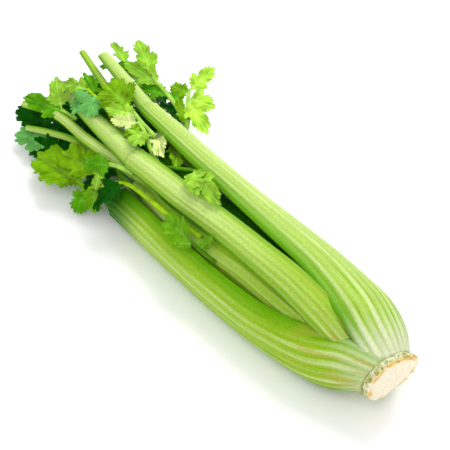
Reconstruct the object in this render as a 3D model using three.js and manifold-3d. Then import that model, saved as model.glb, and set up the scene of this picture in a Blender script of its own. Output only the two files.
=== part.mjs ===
// A head of celery lying on its side, in millimetres.
// +X points to the cut butt, +Z is up, and the origin is on the flat spot of the lowest stalk, on the
// surface that the head rests on. Every stalk is a solid of its own: a ribbed crescent section carried
// along the line of its outer crown. Every leafy stem is one more: thin stems with toothed leaflets grown
// into them.
import * as THREE from "three";
import { mergeVertices } from "three/addons/utils/BufferGeometryUtils.js";
import Module from "manifold-3d";

const wasm = await Module();
wasm.setup();

// ---- driving dimensions ----
const GAP = 0.45; // left between neighbouring solids
const RIB_RELIEF = 0.9; // height of a stalk's ribs over its grooves
const STEM_RELIEF = 0.35; // and of the finer ribs above the node
const LIP = 2.4; // thickness of a stalk's two long edges
const BLADE = 0.8; // leaf thickness
const WELDS = [0.002, 0.005, 0.011, 0.023]; // pitches that a cut solid's points may be rounded to
const TOOTH = 0.06; // depth of a leaf's teeth, as a share of its length
const STEM_SIDES = 5; // flats round a thin leafy stem

// The butt is cut aslant: its face leans by SLANT millimetres of x for each millimetre of y and of z.
const SLANT = { y: 0.1, z: 0.14 };
const BUTT = { x: 192, y: 1.2, z: 34.3, sides: 26 };
// Rings of the butt: distance from the cut plane along x, and radius.
const BUTT_PROFILE = [
  [-26, 2.5],
  [-19, 9],
  [-11, 13],
  [-7.1, 14.5],
  [-6.5, 20],
  [-3.4, 21.2],
  [-0.9, 20.8],
  [0, 19.6],
];
const BUTT_SHIFTS = [-1, 0, 0, 0, -1, 0, 0, 1]; // which way along x each ring moves as the butt is grown

// A stalk's route row is [x, y, z, facing]: a point of the outer crown, and the way that the ribbed face
// looks there, in degrees from +Z towards +Y. The row numbered node is where the leaf stems part, and the
// stalk is narrower above it. widths are at the butt, at the bulge, under the node, over the node and at the
// cut top. wraps are half of the arc that the section spans, in degrees, at the butt and at the bulge.
const STALKS = {
  stalk_right: {
    route: [
      [188.1, 9.5, 51, 22],
      [170, 16, 57, 20],
      [142, 23.5, 62, 26],
      [100, 28, 61, 32],
      [56, 27, 61, 34],
      [15, 26, 60, 36],
      [-30, 25, 60, 34],
      [-70, 25, 60, 30],
      [-98, 24, 61, 25],
      [-130, 28, 61, 20],
      [-162, 32, 61, 20],
    ],
    node: 8,
    widths: [36, 54, 20, 15, 10],
    wraps: [60, 46],
    thick: 7.5,
    ribs: 9,
  },
  stalk_left: {
    route: [
      [184.2, -17, 42, -64],
      [165, -26, 38, -72],
      [140, -36, 30, -84],
      [100, -42, 23.5, -92],
      [56, -44, 21, -94],
      [6, -44, 20, -94],
      [-35, -43, 19.5, -92],
      [-66, -42, 20, -90],
      [-84, -37, 17, -96],
    ],
    node: 7,
    widths: [33, 48, 36, 15, 13],
    wraps: [54, 56],
    thick: 7.5,
    ribs: 8,
  },
  stalk_far: {
    route: [
      [185.6, 18.5, 27, 112],
      [171, 28, 24, 104],
      [142, 37, 19.5, 101],
      [100, 41, 17.5, 100],
      [50, 41, 17, 99],
      [0, 40, 18, 97],
      [-45, 40, 21, 94],
      [-76, 39, 27, 88],
      [-105, 41, 30, 84],
      [-135, 46, 34, 80],
    ],
    node: 7,
    widths: [28, 38, 24, 13, 9],
    wraps: [46, 50],
    thick: 7,
    ribs: 6,
  },
  stalk_under: {
    route: [
      [181.7, -3, 14.2, 184],
      [168, -1, 8, 182],
      [140, 0, 1, 180],
      [100, 0, -0.6, 180],
      [50, 0, -0.8, 180],
      [0, 0, -0.8, 180],
      [-50, 0, -0.4, 180],
      [-90, -1, 1, 181],
      [-120, -3, 4, 184],
      [-150, -8, 7, 190],
    ],
    node: 7,
    widths: [31, 40, 24, 15, 10],
    wraps: [48, 50],
    thick: 7,
    ribs: 6,
  },
  stalk_top: {
    route: [
      [172, -6, 43, -16],
      [156, -10, 51, -20],
      [132, -13, 63, -24],
      [100, -14, 68, -25],
      [70, -15, 67.5, -26],
      [30, -16, 66, -27],
      [-10, -18, 63.5, -28],
      [-42, -19, 62, -28],
      [-66, -20, 61, -28],
      [-100, -17, 57, -30],
      [-130, -13, 52, -32],
      [-160, -7, 46, -34],
    ],
    node: 8,
    widths: [16, 25, 18, 17, 9],
    wraps: [60, 58],
    thick: 7,
    ribs: 6,
  },
  stalk_mid_left: {
    route: [
      [174, -9, 41, -45],
      [157, -18, 44, -50],
      [130, -23.5, 47, -50],
      [95, -24.5, 47.5, -50],
      [60, -25, 47, -52],
      [25, -28, 44, -58],
      [-18, -28, 38, -62],
      [-48, -23, 35, -58],
      [-62, -21, 33, -56],
    ],
    node: 7,
    widths: [14, 24, 17, 10, 8],
    wraps: [60, 52],
    thick: 6,
    ribs: 5,
  },
  stalk_mid_top: {
    route: [
      [172, -4, 45, -12],
      [155, -8, 50, -20],
      [130, -11, 53, -28],
      [95, -10, 53, -26],
      [60, -10, 52, -22],
      [20, -11, 50, -22],
      [-30, -15, 48, -26],
      [-73, -22, 46, -30],
      [-112, -25, 43, -34],
      [-153, -24, 38, -40],
      [-184, -32, 31, -36],
    ],
    node: 9,
    widths: [12, 17, 7, 6.5, 5.5],
    wraps: [60, 52],
    thick: 4.5,
    ribs: 5,
  },
  stalk_mid_right: {
    route: [
      [172, 8, 42, 20],
      [155, 12, 48, 16],
      [130, 13, 51, 12],
      [95, 11, 52, 8],
      [55, 10, 52, 6],
      [10, 8, 51, 4],
      [-40, 6, 50, 2],
      [-85, 9, 50, 6],
      [-120, 13, 51, 14],
      [-152, 20, 51, 20],
      [-183, 27, 51, 24],
    ],
    node: 7,
    widths: [12, 19, 14, 9, 6],
    wraps: [60, 54],
    thick: 6,
    ribs: 5,
  },
  stalk_inner_far: {
    route: [
      [172, 9, 26, 135],
      [150, 18, 19, 140],
      [110, 21, 16, 142],
      [60, 21, 16, 142],
      [10, 21, 17, 140],
      [-40, 22, 19, 135],
      [-85, 24, 21, 130],
      [-120, 27, 22, 126],
      [-152, 33, 22, 120],
    ],
    node: 6,
    widths: [12, 24, 15, 9, 7],
    wraps: [60, 50],
    thick: 6,
    ribs: 4,
  },
  stalk_inner_left: {
    route: [
      [172, -9, 26, -138],
      [150, -17, 19, -145],
      [110, -20, 16, -146],
      [60, -20, 16, -146],
      [10, -19, 17, -144],
      [-40, -19, 19, -138],
      [-90, -20, 23, -130],
      [-127, -24, 25, -110],
      [-152, -32, 22, -90],
      [-170, -40, 19, -80],
    ],
    node: 7,
    widths: [12, 24, 12, 7, 5],
    wraps: [60, 50],
    thick: 6,
    ribs: 4,
  },
  heart_top: {
    route: [
      [163, 1, 38, 0],
      [140, 2, 41, 0],
      [95, 1, 42, 0],
      [45, 1, 42, 0],
      [-5, 1, 41, 0],
      [-45, 3, 42, 5],
    ],
    node: 5,
    widths: [9, 14, 9, 9, 7],
    wraps: [60, 55],
    thick: 5,
    ribs: 3,
  },
  heart_far: {
    route: [
      [163, 6, 30, 120],
      [140, 10, 28, 120],
      [95, 11, 27, 118],
      [45, 11, 27, 118],
      [-5, 11, 28, 116],
      [-50, 12, 30, 110],
    ],
    node: 5,
    widths: [8, 13, 8, 8, 6],
    wraps: [60, 55],
    thick: 5,
    ribs: 3,
  },
  heart_left: {
    route: [
      [163, -5, 30, -120],
      [140, -9, 29, -122],
      [95, -10, 28, -122],
      [45, -10, 28, -120],
      [-5, -9, 29, -118],
      [-55, -8, 31, -110],
    ],
    node: 5,
    widths: [8, 13, 8, 8, 6],
    wraps: [60, 55],
    thick: 5,
    ribs: 3,
  },
};

// A spray has stems, each a row of points with the radius at either end, and leaves. A leaf row is
// [stem, place along it, tip x, y, z, width, bend, teeth]: width is a share of its length, bend is how far
// the blade arches, in degrees, and teeth are counted on each side.
const SPRAYS = {
  leaves_near: {
    facing: [0, -0.1, 1],
    stems: [
      {
        points: [
          [22, -26, 51],
          [-4, -29, 49],
          [-31, -30, 48],
          [-57, -31, 44],
          [-80, -38, 28],
          [-93, -44, 17],
        ],
        radii: [1.9, 1.7],
      },
      { points: [[-57, -31, 44], [-74, -34, 34], [-88, -33, 28]], radii: [1.5, 1.2] },
    ],
    leaves: [
      [0, 1, -147, -47, 13, 0.64, 15, 10],
      [1, 1, -131, -36, 22, 0.75, 20, 5],
      [0, 0.84, -76, -48, 10, 1, 60, 4],
      [0, 0.95, -88, -55, 4, 0.95, 50, 4],
      [1, 0.55, -100, -20, 19, 0.6, 30, 4],
      [0, 0.6, -66, -54, 24, 0.75, 45, 5],
      [1, 0.96, -102, -37, 12, 1, 20, 5],
    ],
  },
  leaves_bud: {
    facing: [0.3, -0.8, 0.4],
    stems: [{ points: [[-58, -24, 50], [-72, -28, 49], [-85, -31, 43]], radii: [1.9, 1.7] }],
    leaves: [
      [0, 1, -81, -41, 25, 0.6, 25, 5],
      [0, 0.6, -99, -38, 38, 0.7, 25, 5],
    ],
  },
  leaves_left_tip: {
    facing: [0.4, -0.5, 0.8],
    stems: [
      { points: [[-140, -14, 36], [-145, -17, 39], [-149, -20, 43]], radii: [1.8, 1.3] },
      { points: [[-140, -14, 36], [-152, -18, 29], [-163, -23, 25]], radii: [1.8, 1.2] },
    ],
    leaves: [
      [0, 1, -165, -12, 60, 0.85, 20, 5],
      [0, 0.6, -186, -28, 33, 0.5, 20, 5],
      [1, 1, -191, -35, 18, 0.7, 20, 5],
      [1, 0.7, -178, -38, 16, 0.65, 15, 5],
    ],
  },
  leaves_left_low: {
    facing: [0.3, -0.4, 1],
    stems: [{ points: [[-118, -22, 15], [-132, -27, 14], [-148, -33, 13]], radii: [1.8, 1.2] }],
    leaves: [
      [0, 1, -181, -43, 7, 0.75, 15, 5],
      [0, 0.6, -164, -43, 6, 0.75, 25, 5],
      [0, 0.9, -171, -22, 7, 0.8, 25, 5],
      [0, 0.1, -168, -14, 19, 0.62, 20, 5],
    ],
  },
  leaves_blue: {
    facing: [0.4, -0.3, 0.9],
    stems: [{ points: [[-112, 0, 47], [-126, 1, 53], [-141, -1, 58]], radii: [1.8, 1.3] }],
    leaves: [
      [0, 0.75, -117, -20, 58, 0.95, 40, 5],
      [0, 0.96, -132, -22, 52, 0.7, 50, 5],
      [0, 1, -166, -6, 48, 0.6, 25, 5],
    ],
  },
  leaves_mid: {
    facing: [0.4, -0.3, 0.9],
    stems: [{ points: [[-95, 0, 40], [-114, 3, 39], [-132, 8, 38]], radii: [1.8, 1.3] }],
    leaves: [
      [0, 0.6, -152, 14, 46, 0.8, 20, 5],
      [0, 1, -163, 12, 50, 0.5, 20, 5],
      [0, 0.55, -150, 33, 33, 0.7, 20, 5],
    ],
  },
  leaves_light: {
    facing: [0.4, -0.2, 1],
    stems: [{ points: [[-72, 8, 56], [-86, 7, 60], [-99, 8, 63]], radii: [1.9, 1.5] }],
    leaves: [
      [0, 1, -130, 7, 66, 1, 20, 10],
      [0, 0.7, -110, -8, 66, 0.7, 30, 5],
    ],
  },
  leaves_heart: {
    facing: [0.5, -0.4, 0.8],
    stems: [{ points: [[-45, -4, 47], [-60, -4, 56], [-74, 1, 62], [-85, 3, 64]], radii: [1.8, 1.3] }],
    leaves: [
      [0, 0.7, -64, -17, 68, 1, 45, 5],
      [0, 1, -98, -12, 66, 0.7, 20, 5],
      [0, 0.85, -83, -12, 61, 0.6, 40, 5],
    ],
  },
  leaves_gap: {
    facing: [0.5, -0.4, 0.8],
    stems: [{ points: [[-25, 18, 42], [-55, 18, 45], [-80, 17, 49]], radii: [1.6, 1.2] }],
    leaves: [
      [0, 1, -48, -4, 61, 0.5, 20, 5],
      [0, 0.6, -36, -2, 58, 0.5, 20, 5],
      [0, 0.5, -84, 28, 36, 0.8, 25, 5],
      [0, 0.9, -124, 27, 34, 0.55, 20, 5],
    ],
  },
  leaves_bright: {
    facing: [0.3, -0.3, 1],
    stems: [{ points: [[-48, -4, 51], [-30, -4, 64], [-12, 1, 72]], radii: [1.6, 1.2] }],
    leaves: [
      [0, 1, 22, -8, 71, 0.5, 35, 5],
      [0, 0.9, 5, -14, 71, 0.8, 40, 5],
    ],
  },
  leaves_shade: {
    facing: [0.2, -0.8, 0.6],
    stems: [{ points: [[42, -30, 44], [33, -33, 50], [22, -35, 53]], radii: [1.4, 1.2] }],
    leaves: [
      [0, 1, -9, -33, 51, 0.75, 30, 5],
      [0, 0.9, 14, -42, 49, 0.7, 50, 5],
      [0, 0.6, 33, -24, 60, 0.7, 50, 5],
    ],
  },
  leaves_right_top: {
    facing: [0.4, -0.1, 0.9],
    stems: [{ points: [[-74, 40, 43], [-96, 46, 47], [-123, 47, 54]], radii: [2.2, 1.5] }],
    leaves: [
      [0, 1, -155, 57, 62, 0.45, 15, 9],
      [0, 0.82, -151, 43, 51, 0.5, 15, 5],
      [0, 0.62, -128, 36, 46, 0.6, 20, 5],
      [0, 0.45, -113, 62, 46, 0.6, 25, 5],
      [0, 0.25, -109, 42, 39, 0.7, 20, 5],
    ],
  },
  leaves_right: {
    facing: [0.6, -0.3, 0.7],
    stems: [{ points: [[-70, 35, 44], [-77, 44, 49], [-85, 50, 54], [-92, 57, 58]], radii: [2, 1.4] }],
    leaves: [
      [0, 1, -91, 81, 66, 0.65, 20, 5],
      [0, 0.9, -101, 48, 61, 0.9, 30, 5],
      [0, 0.7, -52, 42, 52, 0.55, 20, 5],
      [0, 0.78, -67, 61, 56, 0.95, 20, 5],
      [0, 0.12, -96, 49, 51, 0.4, 20, 5],
    ],
  },
  leaves_far_tip: {
    facing: [0.2, 0.2, 1],
    stems: [{ points: [[-122, 38, 43], [-138, 41, 47], [-152, 43, 49]], radii: [1.8, 1.3] }],
    leaves: [
      [0, 1, -177, 50, 49, 0.5, 20, 5],
      [0, 0.7, -166, 29, 45, 0.6, 20, 5],
    ],
  },
  leaves_far: {
    facing: [0, 0.8, 0.5],
    stems: [{ points: [[-92, 46, 20], [-115, 51, 20], [-138, 53, 20]], radii: [2, 1.3] }],
    leaves: [
      [0, 1, -178, 56, 18, 0.9, 20, 4],
      [0, 0.7, -150, 62, 38, 0.8, 30, 4],
      [0, 0.75, -150, 70, 4, 0.8, 30, 4],
      [0, 0.3, -118, 72, 4, 0.8, 40, 4],
      [0, 0.2, -116, 58, 36, 0.8, 30, 4],
    ],
  },
  leaves_under: {
    facing: [0, 0.1, 1],
    stems: [{ points: [[-112, 14, 10], [-132, 15, 9], [-152, 14, 10]], radii: [2, 1.3] }],
    leaves: [
      [0, 1, -190, 12, 8, 0.9, 15, 4],
      [0, 0.5, -152, 44, 5, 0.8, 25, 4],
      [0, 0.75, -176, -12, 15, 0.7, 25, 4],
      [0, 0.3, -146, -13, 11, 0.8, 25, 4],
    ],
  },
  leaves_inner: {
    facing: [0.2, -0.2, 1],
    stems: [{ points: [[-100, 6, 31], [-125, 6, 30], [-148, 4, 31]], radii: [2, 1.3] }],
    leaves: [
      [0, 1, -180, 5, 31, 0.75, 15, 5],
      [0, 0.6, -157, -12, 31, 0.7, 25, 5],
      [0, 0.65, -160, 26, 29, 0.8, 25, 5],
      [0, 0.15, -84, 10, 26, 1, 20, 5],
      [0, 0.2, -130, -14, 25, 0.7, 25, 5],
    ],
  },
};

// Half of a leaf's outline as shares of its length, along and across the midrib: a short stalk, one side
// lobe, then half of the end lobe. The origins are where on the midrib the vein to each of these points
// starts, and SPINE holds the points of the midrib that the blade's triangles meet at. Leaves of few teeth
// are deeply lobed, and the others are fans.
const FAN = {
  outline: [
    [0, 0.025],
    [0.13, 0.035],
    [0.2, 0.18],
    [0.3, 0.33],
    [0.4, 0.46],
    [0.5, 0.5],
    [0.59, 0.46],
    [0.6, 0.33],
    [0.76, 0.4],
    [0.9, 0.26],
    [1, 0],
  ],
  origins: [0, 0.2, 0.24, 0.34, 0.34, 0.34, 0.34, 0.48, 0.48, 0.48, 0.48],
};
const LOBED = {
  outline: [
    [0, 0.025],
    [0.13, 0.035],
    [0.2, 0.27],
    [0.3, 0.4],
    [0.44, 0.46],
    [0.48, 0.25],
    [0.6, 0.31],
    [0.72, 0.32],
    [0.84, 0.24],
    [0.92, 0.13],
    [1, 0],
  ],
  origins: [0, 0.14, 0.2, 0.24, 0.34, 0.34, 0.46, 0.46, 0.46, 0.46, 0.46],
};
const SPINE = [0, 0.2, 0.34, 0.46];

const radians = THREE.MathUtils.degToRad;

function curve(points) {
  return new THREE.CatmullRomCurve3(
    points.map(([x, y, z]) => new THREE.Vector3(x, y, z)),
    false,
    "catmullrom",
    0.5,
  );
}

// Linear interpolation through [place, value] keys.
function keyed(keys, t) {
  const above = keys.findIndex(([place]) => place >= t);
  if (above === 0) return keys[0][1];
  if (above < 0) return keys.at(-1)[1];
  const [t0, v0] = keys[above - 1];
  const [t1, v1] = keys[above];
  return v0 + ((v1 - v0) * (t - t0)) / (t1 - t0);
}

// The same through rows of numbers evenly spaced over 0 to 1.
function sampled(rows, t) {
  const place = Math.min(t * (rows.length - 1), rows.length - 1 - 1e-9);
  const k = Math.floor(place);
  const next = [rows[k + 1]].flat();
  return [rows[k]].flat().map((value, i) => value + (place - k) * (next[i] - value));
}

// ---- solids ----
function solidOf(positions, triangles) {
  const geometry = new THREE.BufferGeometry();
  geometry.setAttribute("position", new THREE.Float32BufferAttribute(positions.flat(), 3));
  geometry.setIndex(triangles.flat());
  const merged = mergeVertices(geometry, 1e-4);
  return new wasm.Manifold(
    new wasm.Mesh({
      numProp: 3,
      vertProperties: merged.attributes.position.array,
      triVerts: new Uint32Array(merged.index.array),
    }),
  );
}

function geometryOf(solid) {
  const mesh = solid.getMesh();
  const geometry = new THREE.BufferGeometry();
  geometry.setAttribute("position", new THREE.BufferAttribute(mesh.vertProperties, 3));
  geometry.setIndex(new THREE.BufferAttribute(mesh.triVerts, 1));
  geometry.computeVertexNormals();
  return geometry;
}

// The largest body of a solid, so that no loose scrap is left by a cut.
function mainBody(solid) {
  return solid.decompose().reduce((a, b) => (b.volume() > a.volume() ? b : a));
}

// Whether each edge, by the places of its ends, has just two faces.
function edgesPaired(solid) {
  const mesh = solid.getMesh();
  const places = [];
  for (let i = 0; i < mesh.numVert; i++) {
    const point = mesh.vertProperties.subarray(3 * i, 3 * i + 3);
    places.push(Array.from(point, (value) => Math.round(1000 * value) + 0).join());
  }
  const faces = new Map();
  for (let i = 0; i < mesh.triVerts.length; i += 3) {
    for (const [a, b] of [[0, 1], [1, 2], [2, 0]]) {
      const key = [places[mesh.triVerts[i + a]], places[mesh.triVerts[i + b]]].sort().join("|");
      faces.set(key, (faces.get(key) ?? 0) + 1);
    }
  }
  return [...faces.values()].every((count) => count === 2);
}

// The main body with its points on a fine lattice, the first of WELDS that leaves every edge with two faces.
function welded(solid) {
  const mesh = solid.getMesh();
  for (const weld of WELDS) {
    const positions = Array.from(mesh.vertProperties, (value) => Math.round(value / weld) * weld);
    const body = mainBody(solidOf(positions, Array.from(mesh.triVerts)));
    if (edgesPaired(body)) return body;
  }
  throw new Error("a solid keeps an edge with more than two faces");
}

// Rings of points joined into a closed tube with flat ends. The outlines are the first and last rings, each
// in its own plane.
function loft(rings, firstOutline, lastOutline = firstOutline) {
  const count = rings[0].length;
  const triangles = [];
  for (let i = 0; i + 1 < rings.length; i++) {
    for (let j = 0; j < count; j++) {
      const a = i * count + j;
      const b = i * count + ((j + 1) % count);
      triangles.push([a, b, b + count], [a, b + count, a + count]);
    }
  }
  const cap = (outline, start, reverse) => {
    const flat = outline.map(([s, n]) => new THREE.Vector2(s, n));
    const turn = THREE.ShapeUtils.area(flat);
    for (const [a, b, c] of THREE.ShapeUtils.triangulateShape(flat, [])) {
      const same = THREE.ShapeUtils.area([flat[a], flat[b], flat[c]]) * turn > 0;
      const [second, third] = same === reverse ? [c, b] : [b, c];
      triangles.push([start + a, start + second, start + third]);
    }
  };
  cap(firstOutline, 0, true);
  cap(lastOutline, (rings.length - 1) * count, false);
  return solidOf(rings.flat(), triangles);
}

// ---- stalks ----
// A crescent: a ribbed outer arc from edge to edge, then the smooth hollow inner face back again.
// Points are [sideways, outward] from the crown. grow pushes every side out, for the room that a neighbour
// keeps, and then the arc has one flat to a rib, outside all of its ribs.
function crescent({ width, wrap, thick, ribs, relief, grow }) {
  const radius = width / 2 / Math.sin(wrap);
  const end = wrap + grow / radius;
  const steps = grow ? ribs : 2 * ribs;
  const sag = grow ? radius * (1 - Math.cos(end / ribs)) : 0;
  const points = [];
  for (let k = 0; k <= steps; k++) {
    const angle = end * ((2 * k) / steps - 1);
    const r = radius + grow + sag + (k % 2 || grow ? relief : 0);
    points.push([r * Math.sin(angle), r * Math.cos(angle) - radius]);
  }
  const inside = Math.max(radius - LIP - grow, 0.4 * radius);
  const edge = [inside * Math.sin(end), inside * Math.cos(end) - radius];
  const deep = -(thick + grow);
  for (const w of [1, 0.5, 0, -0.5, -1]) {
    points.push([edge[0] * w, deep + (edge[1] - deep) * w * w]);
  }
  return points;
}

function stalkSolid(spec, grow = 0) {
  const last = spec.route.length - 1;
  const line = curve(spec.route);
  const facing = curve(spec.route.map((row) => [row[3], 0, 0]));
  const bulge = 2 / last;
  const node = spec.node / last;
  const [under, over] = [node - 0.03, node + 0.01];
  const [base, full, neck, stem, tip] = spec.widths;
  const widths = [[0, base], [bulge, full], [under, neck], [over, stem], [1, tip]];
  const [foot, open] = spec.wraps;
  const wraps = [
    [0, foot],
    [1 / last, open + 10],
    [bulge, open],
    [under, open + 8],
    [over, 72],
    [1, 76],
  ];
  const thicks = [
    [0, 0.6 * spec.thick],
    [bulge, spec.thick],
    [under, spec.thick],
    [over, Math.min(spec.thick, 0.5 * stem)],
    [1, Math.min(spec.thick, 0.5 * tip)],
  ];
  const places = (full > 30 ? [0, 0.5, 1, 1.5, 2] : [0, 1, 2]).map((k) => k / last);
  for (let k = 3; k <= last; k++) {
    places.push(...(k === spec.node && k < last ? [under, over] : [k / last]));
  }
  const rings = [];
  const sections = [];
  for (const t of places) {
    const atFoot = Math.max(0, 1 - t * last);
    const psi = radians(facing.getPoint(t).x);
    const along = line.getTangent(t).lerp(new THREE.Vector3(-1, 0, 0), atFoot).normalize();
    const out = new THREE.Vector3(0, Math.sin(psi), Math.cos(psi));
    out.addScaledVector(along, -out.dot(along)).normalize();
    const side = new THREE.Vector3().crossVectors(along, out);
    const crown = line.getPoint(t);
    if (t === 0) crown.addScaledVector(along, -grow);
    if (t === 1) crown.addScaledVector(along, grow);
    const section = crescent({
      width: keyed(widths, t),
      wrap: radians(keyed(wraps, t)),
      thick: keyed(thicks, t),
      ribs: spec.ribs,
      relief: t < node ? RIB_RELIEF : STEM_RELIEF,
      grow,
    });
    sections.push(section);
    rings.push(
      section.map(([s, n]) => {
        const p = crown.clone().addScaledVector(side, s).addScaledVector(out, n);
        const lean = SLANT.y * (p.y - crown.y) + SLANT.z * (p.z - crown.z);
        return [p.x + atFoot * lean, p.y, Math.max(p.z, -grow)];
      }),
    );
  }
  return loft(rings, sections[0], sections.at(-1));
}

// ---- butt ----
function buttSolid(grow = 0) {
  const outline = [];
  const rings = BUTT_PROFILE.map(() => []);
  for (let k = 0; k < BUTT.sides; k++) {
    const angle = (2 * Math.PI * k) / BUTT.sides;
    const uneven = 1 + 0.03 * Math.sin(3 * angle + 1) + 0.02 * Math.sin(7 * angle);
    outline.push([Math.cos(angle), Math.sin(angle)]);
    BUTT_PROFILE.forEach(([x, r], i) => {
      const radius = r * uneven + grow;
      const [y, z] = [radius * Math.cos(angle), radius * Math.sin(angle)];
      const lean = SLANT.y * y + SLANT.z * z;
      rings[i].push([BUTT.x + x + grow * BUTT_SHIFTS[i] + lean, BUTT.y + y, BUTT.z + z]);
    });
  }
  return loft(rings, outline);
}

// ---- leafy stems ----
// The centres of a stem's rings, two to each stretch of its route.
function stemLine(points) {
  return curve(points).getPoints(2 * (points.length - 1));
}

function stemSolid({ points, radii }, grow = 0) {
  const line = curve(points);
  const centres = stemLine(points);
  const steps = centres.length - 1;
  const outline = [];
  for (let j = 0; j < STEM_SIDES; j++) {
    const angle = (-2 * Math.PI * j) / STEM_SIDES;
    outline.push([Math.cos(angle), Math.sin(angle)]);
  }
  const rings = [];
  for (let i = 0; i <= steps; i++) {
    const t = i / steps;
    const along = line.getTangent(t);
    const out = new THREE.Vector3(0, 0, 1).addScaledVector(along, -along.z).normalize();
    const side = new THREE.Vector3().crossVectors(along, out);
    const radius = radii[0] + (radii[1] - radii[0]) * t + grow;
    rings.push(
      outline.map(([s, n]) => {
        const p = centres[i].clone().addScaledVector(side, radius * s);
        return p.addScaledVector(out, radius * n).toArray();
      }),
    );
  }
  return loft(rings, outline);
}

// A thin blade with two side lobes and an end lobe, toothed, folded up a little along its midrib, waved
// across and arched from base to tip. Both faces have the same triangles, BLADE apart, and more at the
// midrib's root.
function leafSolid({ base, tip, width, bend, teeth, facing, fold, phase }, grow = 0) {
  const chord = base.distanceTo(tip);
  const arc = Math.max(radians(bend), 0.02);
  const length = (chord * arc) / 2 / Math.sin(arc / 2);
  const along = tip.clone().sub(base).normalize();
  const out = facing.clone().addScaledVector(along, -facing.dot(along)).normalize();
  const side = new THREE.Vector3().crossVectors(out, along);
  const place = (x, y, lift) => {
    const turn = arc * (0.5 - x);
    const radius = length / arc;
    const wave = 0.16 * Math.sin(9 * x + phase + 2 * Math.sign(y));
    const height = lift + length * Math.abs(y) * (fold + wave);
    const px = radius * (Math.sin(arc / 2) - Math.sin(turn)) + height * -Math.sin(turn);
    const pz = radius * (Math.cos(turn) - Math.cos(arc / 2)) + height * Math.cos(turn);
    return base
      .clone()
      .addScaledVector(along, px)
      .addScaledVector(side, length * y)
      .addScaledVector(out, pz);
  };
  const steps = 2 * teeth;
  const { outline, origins } = teeth < 8 ? LOBED : FAN;
  const halves = [1, -1].map((sign) => {
    const row = [];
    for (let k = 0; k <= steps; k++) {
      const [x, y] = sampled(outline, k / steps);
      const tooth = TOOTH * (10 / teeth) ** 0.5;
      const push = x < 0.15 || k === steps ? 0 : (k % 2 ? -0.5 : 0.5) * tooth;
      const reach = Math.hypot(x - 0.4, y) || 1;
      const across = Math.max(y + (push * y) / reach, 0);
      row.push([x + (push * (x - 0.4)) / reach, sign * (x < 0.15 ? 1 : width) * across]);
    }
    return row;
  });
  const nearest = (place) => {
    const distances = SPINE.map((x) => Math.abs(x - place));
    return distances.indexOf(Math.min(...distances));
  };
  const roots = halves[0].map((_, k) => nearest(sampled(origins, k / steps)[0]));
  const rim = [...halves[0], ...halves[1].slice(0, -1).reverse()];
  const flat = [...SPINE.map((x) => [x, 0]), ...rim];
  const first = SPINE.length;
  const count = flat.length;
  const rimAt = (k, half) => first + (half === 0 ? k : k === steps ? steps : rim.length - 1 - k);
  const faces = [[first, 0, first + rim.length - 1]];
  for (const half of [0, 1]) {
    for (let k = 0; k < steps; k++) {
      const [from, to] = [roots[k], roots[k + 1]];
      const [near, far] = [rimAt(k, half), rimAt(k + 1, half)];
      faces.push(half === 0 ? [from, near, far] : [from, far, near]);
      for (let m = from; m < to; m++) {
        faces.push(half === 0 ? [m, far, m + 1] : [m, m + 1, far]);
      }
    }
  }
  const points = [];
  for (const sign of [1, -1]) {
    flat.forEach(([x, y], i) => {
      const root = i < first ? 0.8 * Math.max(0, 0.5 - x) : 0;
      const spread = i < first || !grow ? 1 : 1 + grow / length;
      points.push(place(x * spread, y * spread, sign * (BLADE / 2 + grow + root)).toArray());
    });
  }
  const triangles = [];
  for (const [a, b, c] of faces) {
    triangles.push([a, c, b], [a + count, b + count, c + count]);
  }
  for (let k = 0; k < rim.length; k++) {
    const a = first + k;
    const b = first + ((k + 1) % rim.length);
    triangles.push([a, b, b + count], [a, b + count, a + count]);
  }
  return solidOf(points, triangles);
}

function spraySolid(spec, seed, grow = 0) {
  let state = seed;
  const random = () => {
    state = (state * 16807) % 2147483647;
    return state / 2147483647;
  };
  const pieces = spec.stems.map((stem) => stemSolid(stem, grow));
  for (const [stem, t, x, y, z, width, bend, teeth] of spec.leaves) {
    const facing = new THREE.Vector3(...spec.facing).normalize();
    facing.x += 0.5 * (random() - 0.5);
    facing.y += 0.5 * (random() - 0.5);
    const centres = stemLine(spec.stems[stem].points).map((p) => p.toArray());
    const base = new THREE.Vector3(...sampled(centres, Math.min(t, 0.96)));
    const tip = new THREE.Vector3(x, y, z);
    const fold = 0.1 + 0.25 * random();
    const phase = 6 * random();
    pieces.push(leafSolid({ base, tip, width, bend, teeth, facing, fold, phase }, grow));
  }
  return wasm.Manifold.union(pieces).simplify(0.05);
}

// ---- the head ----
const PALE = { color: 0xb5db6b, roughness: 0.45 };
const LEAF = { color: 0x5da81e, roughness: 0.55 };
const CUT = { color: 0xe3cfa0, roughness: 0.8 };

// Nodes in order of which keeps its form where two would meet: each is cut back from all before it.
const nodes = [
  { name: "butt", look: CUT, make: buttSolid },
  ...Object.entries(STALKS).map(([name, spec]) => ({
    name,
    look: PALE,
    make: (grow) => stalkSolid(spec, grow),
  })),
  ...Object.entries(SPRAYS).map(([name, spec], i) => ({
    name,
    look: LEAF,
    make: (grow) => spraySolid(spec, 101 + 37 * i, grow),
  })),
];

const head = new THREE.Group();
const cutters = [];
for (const { name, look, make } of nodes) {
  let solid = make(0);
  for (const cutter of cutters) {
    solid = solid.subtract(cutter);
  }
  cutters.push(make(GAP));
  const geometry = geometryOf(welded(mainBody(solid.simplify(0.01))));
  const mesh = new THREE.Mesh(geometry, new THREE.MeshStandardMaterial({ ...look, metalness: 0 }));
  mesh.name = name;
  head.add(mesh);
}
export default head;
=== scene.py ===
"""A head of celery lying on its side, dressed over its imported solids.

Lengths in the tables are millimetres, in the frame of the solids: +X to the cut butt, +Z up.
Every piece is a surface worked out on a grid, and each function says its formula in words.
"""

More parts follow.
